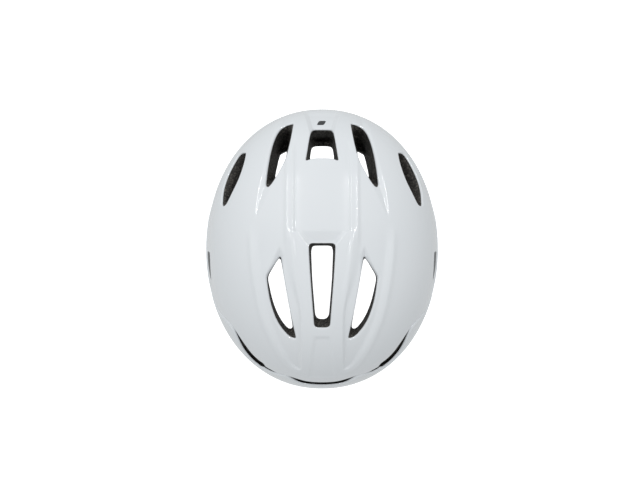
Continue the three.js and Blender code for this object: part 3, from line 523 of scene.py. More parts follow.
LIP = 1.7  # radius of the rolled edge round a vent
EDGE_ROLL = 1.4  # and along the upper shell's lower edge
LOWER_ROLL = 1.2  # and along the lower shell's upper edge
LIP_ROWS = (0.12, 0.35, 0.75, 1.3, 2.0)  # distances from an edge that get a row of points
COARSE = 2.1
FLATNESS = 0.12  # how far the relief may bend over a coarse step
FINE_EVERY = 3  # fine points are this many times denser along each axis


SIDE_PORT_OPENS = (130.0, 143.0)  # degrees from straight ahead
SIDE_PORT_NARROWS = (152.5, 154.5)
SIDE_PORT_CLOSES = (156.0, 162.0)
REAR_PORT_OPENS = (163.5, 171.0)
NARROWING = 0.62  # what the side port loses of its opening as it narrows
SEAM_GAP = 0.35  # half of the gap between the shells where no port opens it
UPPER_OPENING = (4.6, 3.2)  # what the side port and the rear port add to that above the seam
LOWER_OPENING = (5.2, 3.4)  # and below it
SIDE_STEP = 1.7  # how far the shells stand apart sideways at the side port
REAR_STEP = 1.0  # and at the rear port


def port_shares(azimuth):
    """How open the side port and the rear port are in a direction, from 0 to 1."""
    turn = turn_of(azimuth)
    narrowed = 1.0 - NARROWING * smoothstep(turn, *SIDE_PORT_NARROWS)
    side = smoothstep(turn, *SIDE_PORT_OPENS) * narrowed * (1.0 - smoothstep(turn, *SIDE_PORT_CLOSES))
    return side, smoothstep(turn, *REAR_PORT_OPENS)


def slit_opening(azimuth, opening):
    """Height of the gap between the shells on one side of the seam."""
    side, rear = port_shares(azimuth)
    return SEAM_GAP + opening[0] * side + opening[1] * rear


def seam_step(azimuth):
    """How far the shells stand apart sideways at the rear ports."""
    side, rear = port_shares(azimuth)
    grown = 0.3 + 0.7 * smoothstep(turn_of(azimuth), 134.0, 150.0)
    return SIDE_STEP * side * grown + REAR_STEP * rear


UPPER_TUCK = 0.62  # the upper shell's share of that step, inwards; the lower one flares the rest
TUCK_REACH = 15.0  # how far from the edge the step fades out


def upper_edge(azimuth):
    return seam_level(azimuth) + slit_opening(azimuth, UPPER_OPENING)


def lower_edge(azimuth):
    return seam_level(azimuth) - slit_opening(azimuth, LOWER_OPENING)


def edge_curve(level):
    """Half of a shell's edge on the chart, from the front to the rear."""
    azimuth = np.linspace(0.0, math.pi, 900)
    return chart_point(azimuth, chart_radius_at(azimuth, level(azimuth)))


def half_outline(outline):
    """The part of a closed chart outline with x >= 0, as an open line from the front to the rear."""
    start = int(np.argmin(outline[:, 0]))
    turned = np.roll(outline, -start, axis=0)
    inside = turned[:, 0] > 0.25
    first, last = np.argmax(inside), len(inside) - 1 - np.argmax(inside[::-1])
    line = turned[first : last + 1]
    ends = [[0.0, line[0, 1]], [0.0, line[-1, 1]]]
    line = np.vstack([ends[0], line, ends[1]])
    return line if line[0, 1] < line[-1, 1] else line[::-1]


def grid(reach, spacing):
    rows = int(reach / (spacing * 0.866)) + 1
    j, i = np.mgrid[-rows : rows + 1, 0 : int(reach / spacing) + 2]
    u = (i + 0.5 * (j % 2)) * spacing
    v = j * spacing * math.sqrt(3) / 2
    return np.stack([u.ravel(), v.ravel()], axis=-1)


def plan_of_chart(points):
    at = skin_point(points[:, 0], points[:, 1])
    return at[:, 0], at[:, 1]


def needs_detail(points):
    """Where the relief bends enough to need the fine grid."""
    x, y = plan_of_chart(points)
    step = 1.4
    centre = relief(x, y)
    bend = sum(relief(x + dx, y + dy) for dx, dy in ((step, 0), (-step, 0), (0, step), (0, -step)))
    return np.abs(bend - 4 * centre) > FLATNESS


def is_between(loops, points):
    """Which points are inside the first loop and outside the others."""
    keep = is_inside(loops[0], *points.T)
    for loop in loops[1:]:
        keep &= ~is_inside(loop, *points.T)
    return keep


def clearance(loops, points):
    """Distance inside the region between the loops, taking the mirror plane as no edge."""
    return np.where(is_between(loops, points), 1.0, -1.0) * edge_distance(loops, points)


def edge_rows(loops):
    """Points in rows along every edge, to follow its rolled lip."""
    rows = []
    for loop in loops:
        direction = np.roll(loop, -1, axis=0) - np.roll(loop, 1, axis=0)
        normal = np.stack([direction[:, 1], -direction[:, 0]], axis=-1)
        normal /= np.maximum(np.linalg.norm(normal, axis=1, keepdims=True), 1e-9)
        rows += [loop + normal * side * distance for distance in LIP_ROWS for side in (1, -1)]
    rows = np.vstack(rows)
    clear = clearance(loops, rows)
    on_row = np.min(np.abs(clear[:, None] - np.array(LIP_ROWS)[None, :]), axis=1) < 0.02
    return rows[(clear > 0) & on_row & (rows[:, 0] > 0.3)]


def triangulate(boundary, holes, spacing):
    """Chart points and triangles over half of a chart region, given by closed loops of points."""
    loops = [boundary, *holes]
    reach = np.abs(boundary).max() + spacing
    fine = grid(reach, spacing / FINE_EVERY)
    fine = fine[needs_detail(fine)]
    fine = fine[clearance(loops, fine) > LIP_ROWS[-1] + 0.3]
    coarse = grid(reach, spacing)
    coarse = coarse[clearance(loops, coarse) > LIP_ROWS[-1] + 0.6 * spacing]
    inner = thin(np.vstack([edge_rows(loops), fine, coarse]), 0.3)
    points, edges = [], []
    for loop in loops:
        start = len(points)
        points += loop.tolist()
        edges += [(start + i, start + (i + 1) % len(loop)) for i in range(len(loop))]
    points += [*inner.tolist(), *centre_line(loops, spacing).tolist()]
    made = delaunay_2d_cdt([Vector(p) for p in points], edges, [], 0, 1e-5, False)
    flat = np.array([[p.x, p.y] for p in made[0]])
    faces = np.array([f for f in made[2] if len(f) == 3])
    return flat, faces[clearance(loops, flat[faces].mean(axis=1)) > 0]


def edge_distance(loops, points, chunk=1500):
    """Distance to the nearest edge of any loop, apart from edges on the mirror plane."""
    starts = np.vstack(loops)
    ends = np.vstack([np.roll(loop, -1, axis=0) for loop in loops])
    real = (np.abs(starts[:, 0]) > 1e-6) | (np.abs(ends[:, 0]) > 1e-6)
    starts, ends = starts[real], ends[real]
    middles, sides = (starts + ends) / 2, ends - starts
    lengths = np.maximum((sides**2).sum(axis=1), 1e-12)
    best = np.empty(len(points))
    for first in range(0, len(points), chunk):
        part = points[first : first + chunk]
        gaps = (part[:, None, 0] - middles[None, :, 0]) ** 2 + (part[:, None, 1] - middles[None, :, 1]) ** 2
        near = np.argpartition(gaps, 3, axis=1)[:, :3]
        from_start = part[:, None, :] - starts[near]
        along = np.clip((from_start * sides[near]).sum(axis=2) / lengths[near], 0.0, 1.0)
        offset = from_start - along[:, :, None] * sides[near]
        best[first : first + chunk] = np.linalg.norm(offset, axis=2).min(axis=1)
    return best


def thin(points, spacing):
    """Drops points that come closer than the spacing to an earlier one."""
    cells = {}
    kept = []
    for p in points:
        key = (int(math.floor(p[0] / spacing)), int(math.floor(p[1] / spacing)))
        near = any(
            (p[0] - q[0]) ** 2 + (p[1] - q[1]) ** 2 < spacing**2
            for dx in (-1, 0, 1)
            for dy in (-1, 0, 1)
            for q in cells.get((key[0] + dx, key[1] + dy), ())
        )
        if not near:
            cells.setdefault(key, []).append(p)
            kept.append(p)
    return np.array(kept)


def centre_line(loops, spacing):
    """Points on the mirror plane, between the loops."""
    v = np.arange(-260.0, 260.0, spacing / 2)
    points = np.stack([np.zeros_like(v), v], axis=-1)
    return points[is_between(loops, points + [0.02, 0.0]) & (edge_distance(loops, points) > 0.5)]


def edge_roll(distance, radius):
    """How far a rolled edge has sunk at a distance from it."""
    short = np.clip(radius - distance, 0.0, radius)
    return radius - np.sqrt(np.maximum(radius**2 - short**2, 0.0))


def relief_on(points):
    """The relief at points of the skin. There is none below the widest level."""
    above = points[:, 2] - widest_level(np.arctan2(points[:, 0], -points[:, 1]))
    return relief(points[:, 0], points[:, 1]) * smoothstep(above, 0.0, 6.0)


def shell(name, boundary, holes, lift):
    """A half shell over a chart region, mirrored and thickened. lift(u, v, base) displaces it."""
    flat, faces = triangulate(boundary, holes, COARSE)
    u, v = flat[:, 0], flat[:, 1]
    base = skin_point(u, v)
    points = base + skin_normal(u, v) * lift(u, v, base)[:, None]
    points[:, 2] += relief_on(base)
    points[np.abs(u) < 1e-6, 0] = 0.0
    centre = np.abs(points[:, 0]) < 1e-9
    twin = points[~centre] * np.array([-1.0, 1.0, 1.0])
    obj = mesh_object(name, np.vstack([points, twin]), twinned(faces, centre))
    obj.data.update()
    up = np.array([p.normal.z for p in obj.data.polygons]).sum()
    if up < 0:
        obj.data.flip_normals()
    solid = obj.modifiers.new("thickness", "SOLIDIFY")
    solid.thickness = SKIN * MM
    solid.offset = -1.0
    solid.use_even_offset = True
    solid.use_quality_normals = True
    apply_modifiers(obj)
    return obj


def splice(outer, centre_vents):
    """The half shell's boundary: its outer edge, then the halves of the centre vents, rear one first."""
    return np.vstack([outer, *[half_outline(vent)[::-1] for vent in centre_vents]])


def vent_on_chart(corners):
    outline = rounded(corners)
    return evenly(chart_of_plan(outline[:, 0], outline[:, 1]), 1.2)


def shell_lift(loops, rolled):
    """Displacement of the upper shell: the roll along its edges, and the tuck over the ports."""

    def lift(u, v, base):
        points = np.stack([u, v], axis=-1)
        h = np.zeros(len(points))
        azimuth = np.arctan2(base[:, 0], -base[:, 1])
        for loop, radius in zip(loops, rolled):
            h = h - edge_roll(edge_distance([loop], points), radius)
        tuck = UPPER_TUCK * seam_step(azimuth)
        seam = chart_radius_at(azimuth, upper_edge(azimuth)) - np.hypot(u, v)
        return h - tuck * (1.0 - smoothstep(seam, 0.0, TUCK_REACH))

    return lift


def build_shells():
    upper_curve = resample(edge_curve(upper_edge), 1.2)
    side_vents = [vent_on_chart(v) for v in (FRONT_SIDE_VENT, REAR_SIDE_VENT, FAR_SIDE_VENT)]
    centre_vents = [vent_on_chart(v) for v in (REAR_CENTRE_VENT, FRONT_CENTRE_VENT)]
    boundary = splice(upper_curve, centre_vents)
    lift = shell_lift([boundary, *side_vents], [EDGE_ROLL, LIP, LIP, LIP])
    upper = shell("upper_shell_skin", boundary, side_vents, lift)
    lower_top = resample(edge_curve(lower_edge), 1.2)
    azimuth = np.linspace(0.0, math.pi, 400)
    lower_rim = resample(chart_point(azimuth, chart_edge(azimuth) + RING_WIDTH), 1.6)
    ring = np.vstack([lower_rim, lower_top[::-1]])

    def flared(u, v, base):
        azimuth = np.arctan2(base[:, 0], -base[:, 1])
        below = np.hypot(u, v) - chart_radius_at(azimuth, lower_edge(azimuth))
        flare = (1.0 - UPPER_TUCK) * seam_step(azimuth) * (1.0 - smoothstep(below, 0.0, TUCK_REACH))
        return flare - edge_roll(edge_distance([lower_top], np.stack([u, v], axis=-1)), LOWER_ROLL)

    return upper, shell("lower_shell_skin", ring, [], flared)


# ---------- printed marks ----------
# Plain shapes printed on the shell: a short slanted tab in front and a tapered stripe on each side.

PRINT_HEIGHT = 0.07  # above the shell


def printed_mark(name, outline):
    """A flat print over a closed outline of chart points, following the shell."""
    low, high = outline.min(axis=0), outline.max(axis=0)
    u, v = np.meshgrid(np.arange(low[0], high[0], 1.0), np.arange(low[1], high[1], 1.0), indexing="ij")
    inner = np.stack([u.ravel(), v.ravel()], axis=-1)
    inner = inner[inside_distance(outline, inner[:, 0], inner[:, 1]) > 0.5]
    flat, faces = filled(outline, inner)
    base = skin_point(flat[:, 0], flat[:, 1])
    raised = base + skin_normal(flat[:, 0], flat[:, 1]) * PRINT_HEIGHT
    raised[:, 2] += relief_on(base)
    piece = mesh_object(name, raised, faces)
    piece.data.update()
    return piece


def front_mark():
    corners = [[5.3, -120.5, 1.4], [2.9, -124.9, 1.4], [-4.1, -124.9, 1.4], [-1.7, -120.5, 1.4]]
    outline = rounded(corners, 0.8)
    return printed_mark("front_mark", chart_of_plan(outline[:, 0], outline[:, 1]))


def side_mark(side, name):
    """A stripe that tapers to the rear, as [degrees from straight ahead, height] corners."""
    corners = [[91.5, -37.5, 2], [91.0, -51.5, 2], [99.0, -50.0, 3], [106.0, -46.0, 1], [99.0, -39.5, 3]]
    outline = rounded(corners, 0.8)
    azimuth = side * np.radians(outline[:, 0])
    points = chart_point(azimuth, chart_radius_at(azimuth, outline[:, 1]))
    return printed_mark(name + "_side_mark", evenly(points, 1.2))


# ---------- foam liner ----------
# The liner is a field of signed distances on a grid (negative in the foam), turned into a surface.

VOXEL = 1.5
FOAM_INSET = SKIN + 0.4
FIELD_X = np.arange(0.0, 118.0, VOXEL)
FIELD_Y = np.arange(-142.5, 142.6, VOXEL)
FIELD_Z = np.arange(-127.5, 38.0, VOXEL)


# Vents cut down through the foam, and how deep below the skin they go.
FOAM_VENTS = (
    (FRONT_CENTRE_VENT, 62.0),
    (FRONT_SIDE_VENT, 58.0),
    (REAR_SIDE_VENT, math.inf),
    (REAR_CENTRE_VENT, math.inf),
)
VENT_SETBACK = 0.8  # of the foam behind the shell's edge, falling to none at the cavity
UNDERSIDE_ROUND = 5.0  # rounding of the foam's edges: at the rim,
CAVITY_ROUND = 2.5  # round the cavity,
VENT_ROUND = 2.2  # at the vents,
CHANNEL_ROUND = 3.0  # along the air channels
PORT_ROUND = 2.0  # and at the openings behind the seam
PORT_INSET = 1.2  # how much lower those are than the gap between the shells
FAR_SIDE_WAY = (-0.8, 0.3, -0.5)  # direction of the far side vent into the foam, on the left
FAR_SIDE_DROP = 30.0  # and its depth
# Air channels in the cavity's surface, as lines of the plan with half widths.
CENTRE_CHANNEL = [[0, -90], [0, 94]]
SIDE_CHANNEL = [[46.5, -52], [48, -15], [46, 20], [38, 60], [24, 88]]
AIR_CHANNELS = ((CENTRE_CHANNEL, 9.0), (SIDE_CHANNEL, 7.5))
AIR_DEPTH = 9.0


def smooth_max(a, b, width):
    """The larger of two fields, rounded where they meet."""
    share = np.clip(0.5 + 0.5 * (a - b) / width, 0.0, 1.0)
    return b + (a - b) * share + width * share * (1.0 - share)


def as_distance(field):
    """A field that crosses zero at a surface, scaled so that it is a distance near it."""
    slopes = np.gradient(field, VOXEL)
    size = np.sqrt(sum(slope**2 for slope in slopes))
    return np.clip(field / np.maximum(size, 1e-4), -30.0, 30.0).astype(np.float32)


def vent_field(corners, x, y, share):
    """Distance inside a vent cut down from the skin, at a share of the way to the cavity."""
    levels = np.array([0.0, 0.35, 0.7, 1.0, 1.35])
    outline = []
    for level in levels:
        moved = []
        for at_x, at_y, rounding, wall_x, wall_y in corners:
            moved.append([at_x + level * (wall_x - at_x), at_y + level * (wall_y - at_y), rounding])
        outline.append(inside_distance(eased(moved), x, y))
    stack = np.stack(outline)
    share = np.clip(share, 0.0, levels[-1])
    index = np.clip(np.searchsorted(levels, share.ravel()) - 1, 0, len(levels) - 2).reshape(share.shape)
    part = (share - levels[index]) / (levels[index + 1] - levels[index])
    i, j = np.meshgrid(np.arange(x.shape[0]), np.arange(x.shape[1]), indexing="ij")
    i, j = i[:, :, None], j[:, :, None]
    return stack[index, i, j] * (1 - part) + stack[index + 1, i, j] * part


def tunnel_field(corners, way, grid_points):
    """Distance inside a tunnel of the outline's shape, along a direction through the skin."""
    outline = eased(corners)
    edge = np.column_stack([outline, skin_height(outline[:, 0], outline[:, 1])])
    middle = edge.mean(axis=0)
    axes = np.linalg.svd(edge - middle)[2]
    normal = axes[2]
    way = np.array(way) / np.linalg.norm(way)
    offset = [g - m for g, m in zip(grid_points, middle)]
    run = sum(o * n for o, n in zip(offset, normal)) / float(way @ normal)
    flat = [sum((o - run * w) * axis[k] for k, (o, w) in enumerate(zip(offset, way))) for axis in axes[:2]]
    return inside_distance((edge - middle) @ axes[:2].T, flat[0], flat[1]), run


def channel_field(line, half_width, depth, x, y, into_foam):
    """Distance inside an air channel moulded into the cavity's surface along a line of the plan."""
    across = half_width - line_distance(np.array(line, dtype=float), x, y)[:, :, None]
    return -smooth_max(-across, into_foam - depth, 5.0)


def liner_outside(x, y, z):
    """Distance outside the foam's outer face. x, y and z are grids of points."""
    azimuth = np.arctan2(x, -y)
    reach, level = plan_radius(azimuth), widest_level(azimuth)
    floor = rim_level(azimuth) + RIM_ROUND
    radius = np.hypot(x, y)
    sunken = z - relief(x[:, :, 0], y[:, :, 0])[:, :, None] * smoothstep(z - level, 0.0, 6.0)
    height = np.clip((sunken - level) / (CROWN - level), 0.0, None)
    above = ((radius / reach) ** PROFILE_POWER + height**PROFILE_POWER) ** (1 / PROFILE_POWER) - 1.0
    tucked = reach - TUCK * (level - z) * np.abs(level - z) / (level - floor)
    outside = as_distance(np.where(z > level, above, radius / tucked - 1.0)) + FOAM_INSET
    # set back behind the gap between the shells
    hollow = UPPER_TUCK * seam_step(azimuth) + 0.4 * (turn_of(azimuth) > 128.0)
    return outside + hollow * np.exp(-(((z - seam_level(azimuth)) / 16.0) ** 2))


def liner_inside(x, y, z):
    """Distance from the cavity's wall into the foam."""
    azimuth = np.arctan2(x, -y)
    radius = np.hypot(x, y)
    head = head_radius(azimuth)
    height = np.clip((z - HEAD_LEVEL) / (HEAD_CROWN - HEAD_LEVEL), 0.0, None)
    above = ((radius / head) ** HEAD_POWER + height**HEAD_POWER) ** (1 / HEAD_POWER)
    flare = radius / (head + HEAD_FLARE * np.clip(HEAD_LEVEL - z, 0.0, None))
    return as_distance(np.where(z > HEAD_LEVEL, above, flare) - 1.0)


def liner_field():
    """The left half of the liner, with its vents, air channels and openings behind the seam."""
    x3, y3, z3 = np.meshgrid(FIELD_X, FIELD_Y, FIELD_Z, indexing="ij")
    x, y = x3[:, :, 0], y3[:, :, 0]
    azimuth = np.arctan2(x3, -y3)
    into_foam = liner_inside(x3, y3, z3)
    foam = smooth_max(liner_outside(x3, y3, z3), rim_level(azimuth) + FOAM_INSET - z3, UNDERSIDE_ROUND)
    foam = smooth_max(foam, -into_foam, CAVITY_ROUND)
    depth = np.clip(skin_height(x, y)[:, :, None] - z3, 0.0, None)
    through = depth / (skin_height(x, y) - cavity_height(x, y))[:, :, None]
    for corners, drop in FOAM_VENTS:
        inside = np.minimum(vent_field(corners, x, y, through), drop - depth)
        foam = smooth_max(foam, inside + VENT_SETBACK * np.clip(1.0 - through, 0.0, 1.0), VENT_ROUND)
    inside, run = tunnel_field(FAR_SIDE_VENT, FAR_SIDE_WAY, (x3, y3, z3))
    foam = smooth_max(foam, np.minimum(inside, FAR_SIDE_DROP - run), VENT_ROUND)
    for line, half_width in AIR_CHANNELS:
        inside = channel_field(line, half_width, AIR_DEPTH, x, y, into_foam)
        foam = smooth_max(foam, inside, CHANNEL_ROUND)
    port = port_half(azimuth) - np.abs(z3 - seam_level(azimuth))
    foam = smooth_max(foam, np.where(turn_of(azimuth) > 120.0, port, -9.0), PORT_ROUND)
    return foam.astype(np.float32)


def port_half(azimuth):
    """Half height of the opening in the foam behind the gap between the shells."""
    halves = [slit_opening(azimuth, opening) for opening in (UPPER_OPENING, LOWER_OPENING)]
    return np.minimum(*halves) - PORT_INSET


def foam_liner():
    half = liner_field()
    field = np.concatenate([half[:0:-1], half], axis=0)
    grid3 = openvdb.FloatGrid(30.0)
    grid3.copyFromArray(field)
    points, _, quads = grid3.convertToPolygons(isovalue=0.0)
    start = np.array([-FIELD_X[-1], FIELD_Y[0], FIELD_Z[0]])
    obj = mesh_object("foam_liner_skin", points * VOXEL + start, quads)
    face_outwards(obj)
    return obj


# ---------- materials ----------


def socket_name(key):
    """coat_weight is the shader's socket Coat Weight."""
    return key.replace("_", " ").title()


def new_material(name, color, roughness, **values):
    """A material, its shader, its node tree and the object's own coordinates."""
    material = bpy.data.materials.new(name)
    material.use_nodes = True
    tree = material.node_tree
    shader = tree.nodes["Principled BSDF"]
    shader.inputs["Base Color"].default_value = (*color, 1.0)
    shader.inputs["Roughness"].default_value = roughness
    for key, value in values.items():
        shader.inputs[socket_name(key)].default_value = value
    place = tree.nodes.new("ShaderNodeTexCoord").outputs["Object"]
    return material, shader, tree, place


def wire(tree, shader, **sources):
    for key, source in sources.items():
        tree.links.new(source, shader.inputs[socket_name(key)])


def add_noise(tree, place, scale, detail=2.0):
    noise = tree.nodes.new("ShaderNodeTexNoise")
    noise.inputs["Scale"].default_value = scale
    noise.inputs["Detail"].default_value = detail
    tree.links.new(place, noise.inputs["Vector"])
    return noise.outputs["Fac"]


def add_cells(tree, place, scale, feature="F1", randomness=1.0):
    cells = tree.nodes.new("ShaderNodeTexVoronoi")
    cells.feature = feature
    cells.inputs["Scale"].default_value = scale
    cells.inputs["Randomness"].default_value = randomness
    tree.links.new(place, cells.inputs["Vector"])
    return cells.outputs


def add_split(tree, vector):
    split = tree.nodes.new("ShaderNodeSeparateXYZ")
    tree.links.new(vector, split.inputs["Vector"])
    return [split.outputs[axis] for axis in "XYZ"]


def add_range(tree, value, low, high, start=0.0, end=1.0):
    """low to high as the value runs from start to end."""
    node = tree.nodes.new("ShaderNodeMapRange")
    for key, number in (("From Min", start), ("From Max", end), ("To Min", low), ("To Max", high)):
        node.inputs[key].default_value = number
    tree.links.new(value, node.inputs["Value"])
    return node.outputs["Result"]


def add_tones(tree, value, dark, light):
    ramp = tree.nodes.new("ShaderNodeValToRGB")
    ramp.color_ramp.elements[0].color = (*dark, 1.0)
    ramp.color_ramp.elements[1].color = (*light, 1.0)
    tree.links.new(value, ramp.inputs["Fac"])
    return ramp.outputs["Color"]


def add_math(tree, operation, a, b=0.0):
    node = tree.nodes.new("ShaderNodeMath")
    node.operation = operation
    for socket, value in zip(node.inputs, (a, b)):
        if isinstance(value, (int, float)):
            socket.default_value = value
        else:
            tree.links.new(value, socket)
    return node.outputs["Value"]


def add_bump(tree, height, distance, strength=1.0):
    node = tree.nodes.new("ShaderNodeBump")
    node.inputs["Strength"].default_value = strength
    node.inputs["Distance"].default_value = distance
    tree.links.new(height, node.inputs["Height"])
    return node.outputs["Normal"]


def gloss_white():
    """Lacquered polycarbonate: a faint drift of tone, wiping marks and a slight orange peel."""
    material, shader, tree, place = new_material("gloss_white", (0.80, 0.82, 0.84), 0.16, coat_weight=1.0)
    tones = add_tones(tree, add_noise(tree, place, 11.0), (0.782, 0.806, 0.828), (0.818, 0.834, 0.852))
    wiped = add_noise(tree, place, 140.0, 4.0)
    gloss, coat = add_range(tree, wiped, 0.13, 0.20), add_range(tree, wiped, 0.035, 0.07)
    peel = add_bump(tree, add_noise(tree, place, 330.0, 1.0), 0.000006, 0.6)
    wire(tree, shader, base_color=tones, roughness=gloss, coat_roughness=coat, normal=peel, coat_normal=peel)
    return material


BEADS = 420.0  # scale of the foam's beads


def bead_foam():
    """Black expanded polystyrene: fused beads, each a little paler or darker, with dark seams."""
    material, shader, tree, place = new_material("bead_foam", (0.02, 0.02, 0.02), 0.75)
    bead = add_cells(tree, place, BEADS)["Color"]
    seam = add_cells(tree, place, BEADS, "DISTANCE_TO_EDGE")["Distance"]
    edge = add_range(tree, seam, 0.0, 1.0, 0.0, 0.14)
    mix = tree.nodes.new("ShaderNodeMix")
    mix.data_type = "RGBA"
    mix.inputs["A"].default_value = (0.012, 0.011, 0.011, 1.0)
    tree.links.new(edge, mix.inputs["Factor"])
    tree.links.new(add_tones(tree, bead, (0.020, 0.019, 0.018), (0.150, 0.138, 0.122)), mix.inputs["B"])
    wire(tree, shader, base_color=mix.outputs["Result"], normal=add_bump(tree, edge, 0.0006, 0.5))
    return material


def moulded_plastic(name, dark, light, roughness, grain):
    """Injection-moulded plastic: a spark-eroded grain, slight variation of tone and gloss."""
    material, shader, tree, place = new_material(name, dark, roughness)
    cloud = add_noise(tree, place, 60.0, 3.0)
    gloss = add_range(tree, cloud, roughness - 0.08, roughness + 0.1, 0.3, 0.7)
    fine = add_bump(tree, add_noise(tree, place, grain), 0.00008, 0.8)
    wire(tree, shader, base_color=add_tones(tree, cloud, dark, light), roughness=gloss, normal=fine)
    return material


def knit():
    """Brushed knit on the pads: rows of loops, a soft nap and a little sheen."""
    dark, light = (0.014, 0.015, 0.017), (0.050, 0.052, 0.058)
    sheen = {"sheen_weight": 0.4, "sheen_roughness": 0.6}
    material, shader, tree, place = new_material("pad_knit", dark, 0.95, **sheen)
    loops = add_cells(tree, place, 1250.0, randomness=0.35)["Distance"]
    height = add_math(tree, "SUBTRACT", add_noise(tree, place, 3000.0), loops)
    wear = add_noise(tree, place, 55.0, 3.0)
    tone = add_math(tree, "MULTIPLY", add_range(tree, height, 0.0, 1.0, -0.5, 0.7), wear)
    tones = add_tones(tree, add_range(tree, tone, 0.0, 1.0, 0.1, 0.5), dark, light)
    wire(tree, shader, base_color=tones, normal=add_bump(tree, height, 0.0004, 0.9))
    return material


def woven(name, dark, light):
    """Flat webbing: a herringbone of fine ribs that follows the strap, from its weave attribute."""
    material, shader, tree, place = new_material(name, dark, 0.8, sheen_weight=0.25)
    weave = tree.nodes.new("ShaderNodeAttribute")
    weave.attribute_name = "weave"
    along, across, _ = add_split(tree, weave.outputs["Vector"])
    slanted = add_math(tree, "ADD", along, add_math(tree, "PINGPONG", across, 2.5))
    rows = add_math(tree, "SINE", add_math(tree, "MULTIPLY", slanted, 7.0))
    ribs = add_math(tree, "SINE", add_math(tree, "MULTIPLY", across, 9.0))
    height = add_math(tree, "MULTIPLY", rows, 0.6)
    for part, share in ((ribs, 0.4), (add_noise(tree, place, 2200.0), 0.5)):
        height = add_math(tree, "ADD", height, add_math(tree, "MULTIPLY", part, share))
    tones = add_tones(tree, add_range(tree, height, 0.0, 1.0, -0.8, 1.3), dark, light)
    wire(tree, shader, base_color=tones, normal=add_bump(tree, height, 0.00018, 0.9))
    return material


def spun_thread():
    """Sewing thread: fine fibres."""
    material, shader, tree, place = new_material("spun_thread", (0.07, 0.07, 0.075), 0.75, sheen_weight=0.3)
    fibres = add_noise(tree, place, 4200.0, 3.0)
    tones = add_tones(tree, fibres, (0.045, 0.045, 0.047), (0.100, 0.100, 0.105))
    wire(tree, shader, base_color=tones, normal=add_bump(tree, fibres, 0.00008, 0.8))
    return material


def polished_steel():
    """Steel with fine scratches."""
    material, shader, tree, place = new_material("polished_steel", (0.62, 0.63, 0.65), 0.24, metallic=1.0)
    scratches = add_noise(tree, place, 900.0, 4.0)
    gloss = add_range(tree, scratches, 0.18, 0.34)
    wire(tree, shader, roughness=gloss, normal=add_bump(tree, scratches, 0.00002, 0.5))
    return material


# ---------- camera, floor and light ----------

CAMERA_AT = (0.002, -0.009, 1.925)
LENS = 112.5
FLOOR_LEVEL = -0.30
# A thin strip light on each side: its mirror image is the crisp line along each crease of the shell.
STRIP_AT = (0.76, -0.85, 1.85)
STRIP_SIZE = (0.05, 1.5)
STRIP_ALONG = (0.0, 1.0, 0.5)
STRIP_POWER = 8.5


def make_camera():
    data = bpy.data.cameras.new("camera")
    data.lens = LENS
    data.sensor_width = 36.0
    data.clip_end = 20.0
    camera = bpy.data.objects.new("camera", data)
    camera.location = CAMERA_AT
    camera.rotation_euler = (0.0, 0.0, math.pi)
    bpy.context.scene.collection.objects.link(camera)
    bpy.context.scene.camera = camera


def make_floor():
    mesh = bpy.data.meshes.new("floor")
    side = 6.0
    corners = [(-side, -side), (side, -side), (side, side), (-side, side)]
    mesh.from_pydata([(x, y, FLOOR_LEVEL) for x, y in corners], [], [(0, 1, 2, 3)])
    floor = bpy.data.objects.new("floor", mesh)
    bpy.context.scene.collection.objects.link(floor)
    glow = {"emission_color": (1.0, 1.0, 1.0, 1.0), "emission_strength": 0.75}
    mesh.materials.append(new_material("floor", (0.92, 0.92, 0.92), 0.9, **glow)[0])
    floor.visible_diffuse = False
    floor.visible_glossy = False


def area_light(name, at, target, size, power, along):
    """A rectangular light that faces the target. The second of its sizes runs along a direction."""
    data = bpy.data.lights.new(name, "AREA")
    data.shape = "RECTANGLE"
    data.size, data.size_y = size
    data.energy = power
    light = bpy.data.objects.new(name, data)
    back = (Vector(at) - Vector(target)).normalized()
    side = Vector(along).cross(back).normalized()
    turn = Matrix((side, back.cross(side), back)).transposed()
    light.matrix_world = Matrix.Translation(at) @ turn.to_4x4()
    bpy.context.scene.collection.objects.link(light)


def make_world():
    """Soft light all round, a little stronger from in front and from the wearer's left."""
    world = bpy.data.worlds.new("studio")
    bpy.context.scene.world = world
    world.use_nodes = True
    tree = world.node_tree
    background = tree.nodes["Background"]
    background.inputs["Color"].default_value = (0.955, 0.985, 1.0, 1.0)
    x, y, z = add_split(tree, tree.nodes.new("ShaderNodeTexCoord").outputs["Generated"])
    strength = add_range(tree, z, 0.575, 0.565, -0.3, 0.9)
    strength = add_math(tree, "MULTIPLY", strength, add_range(tree, y, 1.13, 1.24, 0.45, -0.45))
    strength = add_math(tree, "MULTIPLY", strength, add_range(tree, x, 0.89, 1.06, -0.8, 0.8))
    tree.links.new(strength, background.inputs["Strength"])


def make_light():
    make_world()
    x, y, z = STRIP_AT
    for side in (-1, 1):
        area_light(f"strip_{side}", (side * x, y, z), (0, 0, 0), STRIP_SIZE, STRIP_POWER, STRIP_ALONG)
    view = bpy.context.scene.view_settings
    view.view_transform = "Standard"
    view.look = "None"


# ---------- pieces made from CAD nodes ----------


def round_edges(piece, radius):
    bevel = piece.modifiers.new("edges", "BEVEL")
    bevel.width = radius * MM
    bevel.segments = 2
    bevel.limit_method = "ANGLE"
    bevel.angle_limit = math.radians(35.0)
    bevel.harden_normals = True
    apply_modifiers(piece)


def cad_mesh(node):
    """A CAD node's points in millimetres and its triangles, with doubled points merged."""
    made = bmesh.new()
    made.from_mesh(frame["nodes"][node].data)
    bmesh.ops.remove_doubles(made, verts=made.verts, dist=1e-6)
    points = [v.co / MM for v in made.verts]
    faces = [[v.index for v in f.verts] for f in made.faces]
    made.free()
    return points, faces


def merge_facets(made):
    bmesh.ops.dissolve_limit(made, angle_limit=math.radians(1.0), verts=made.verts, edges=made.edges)


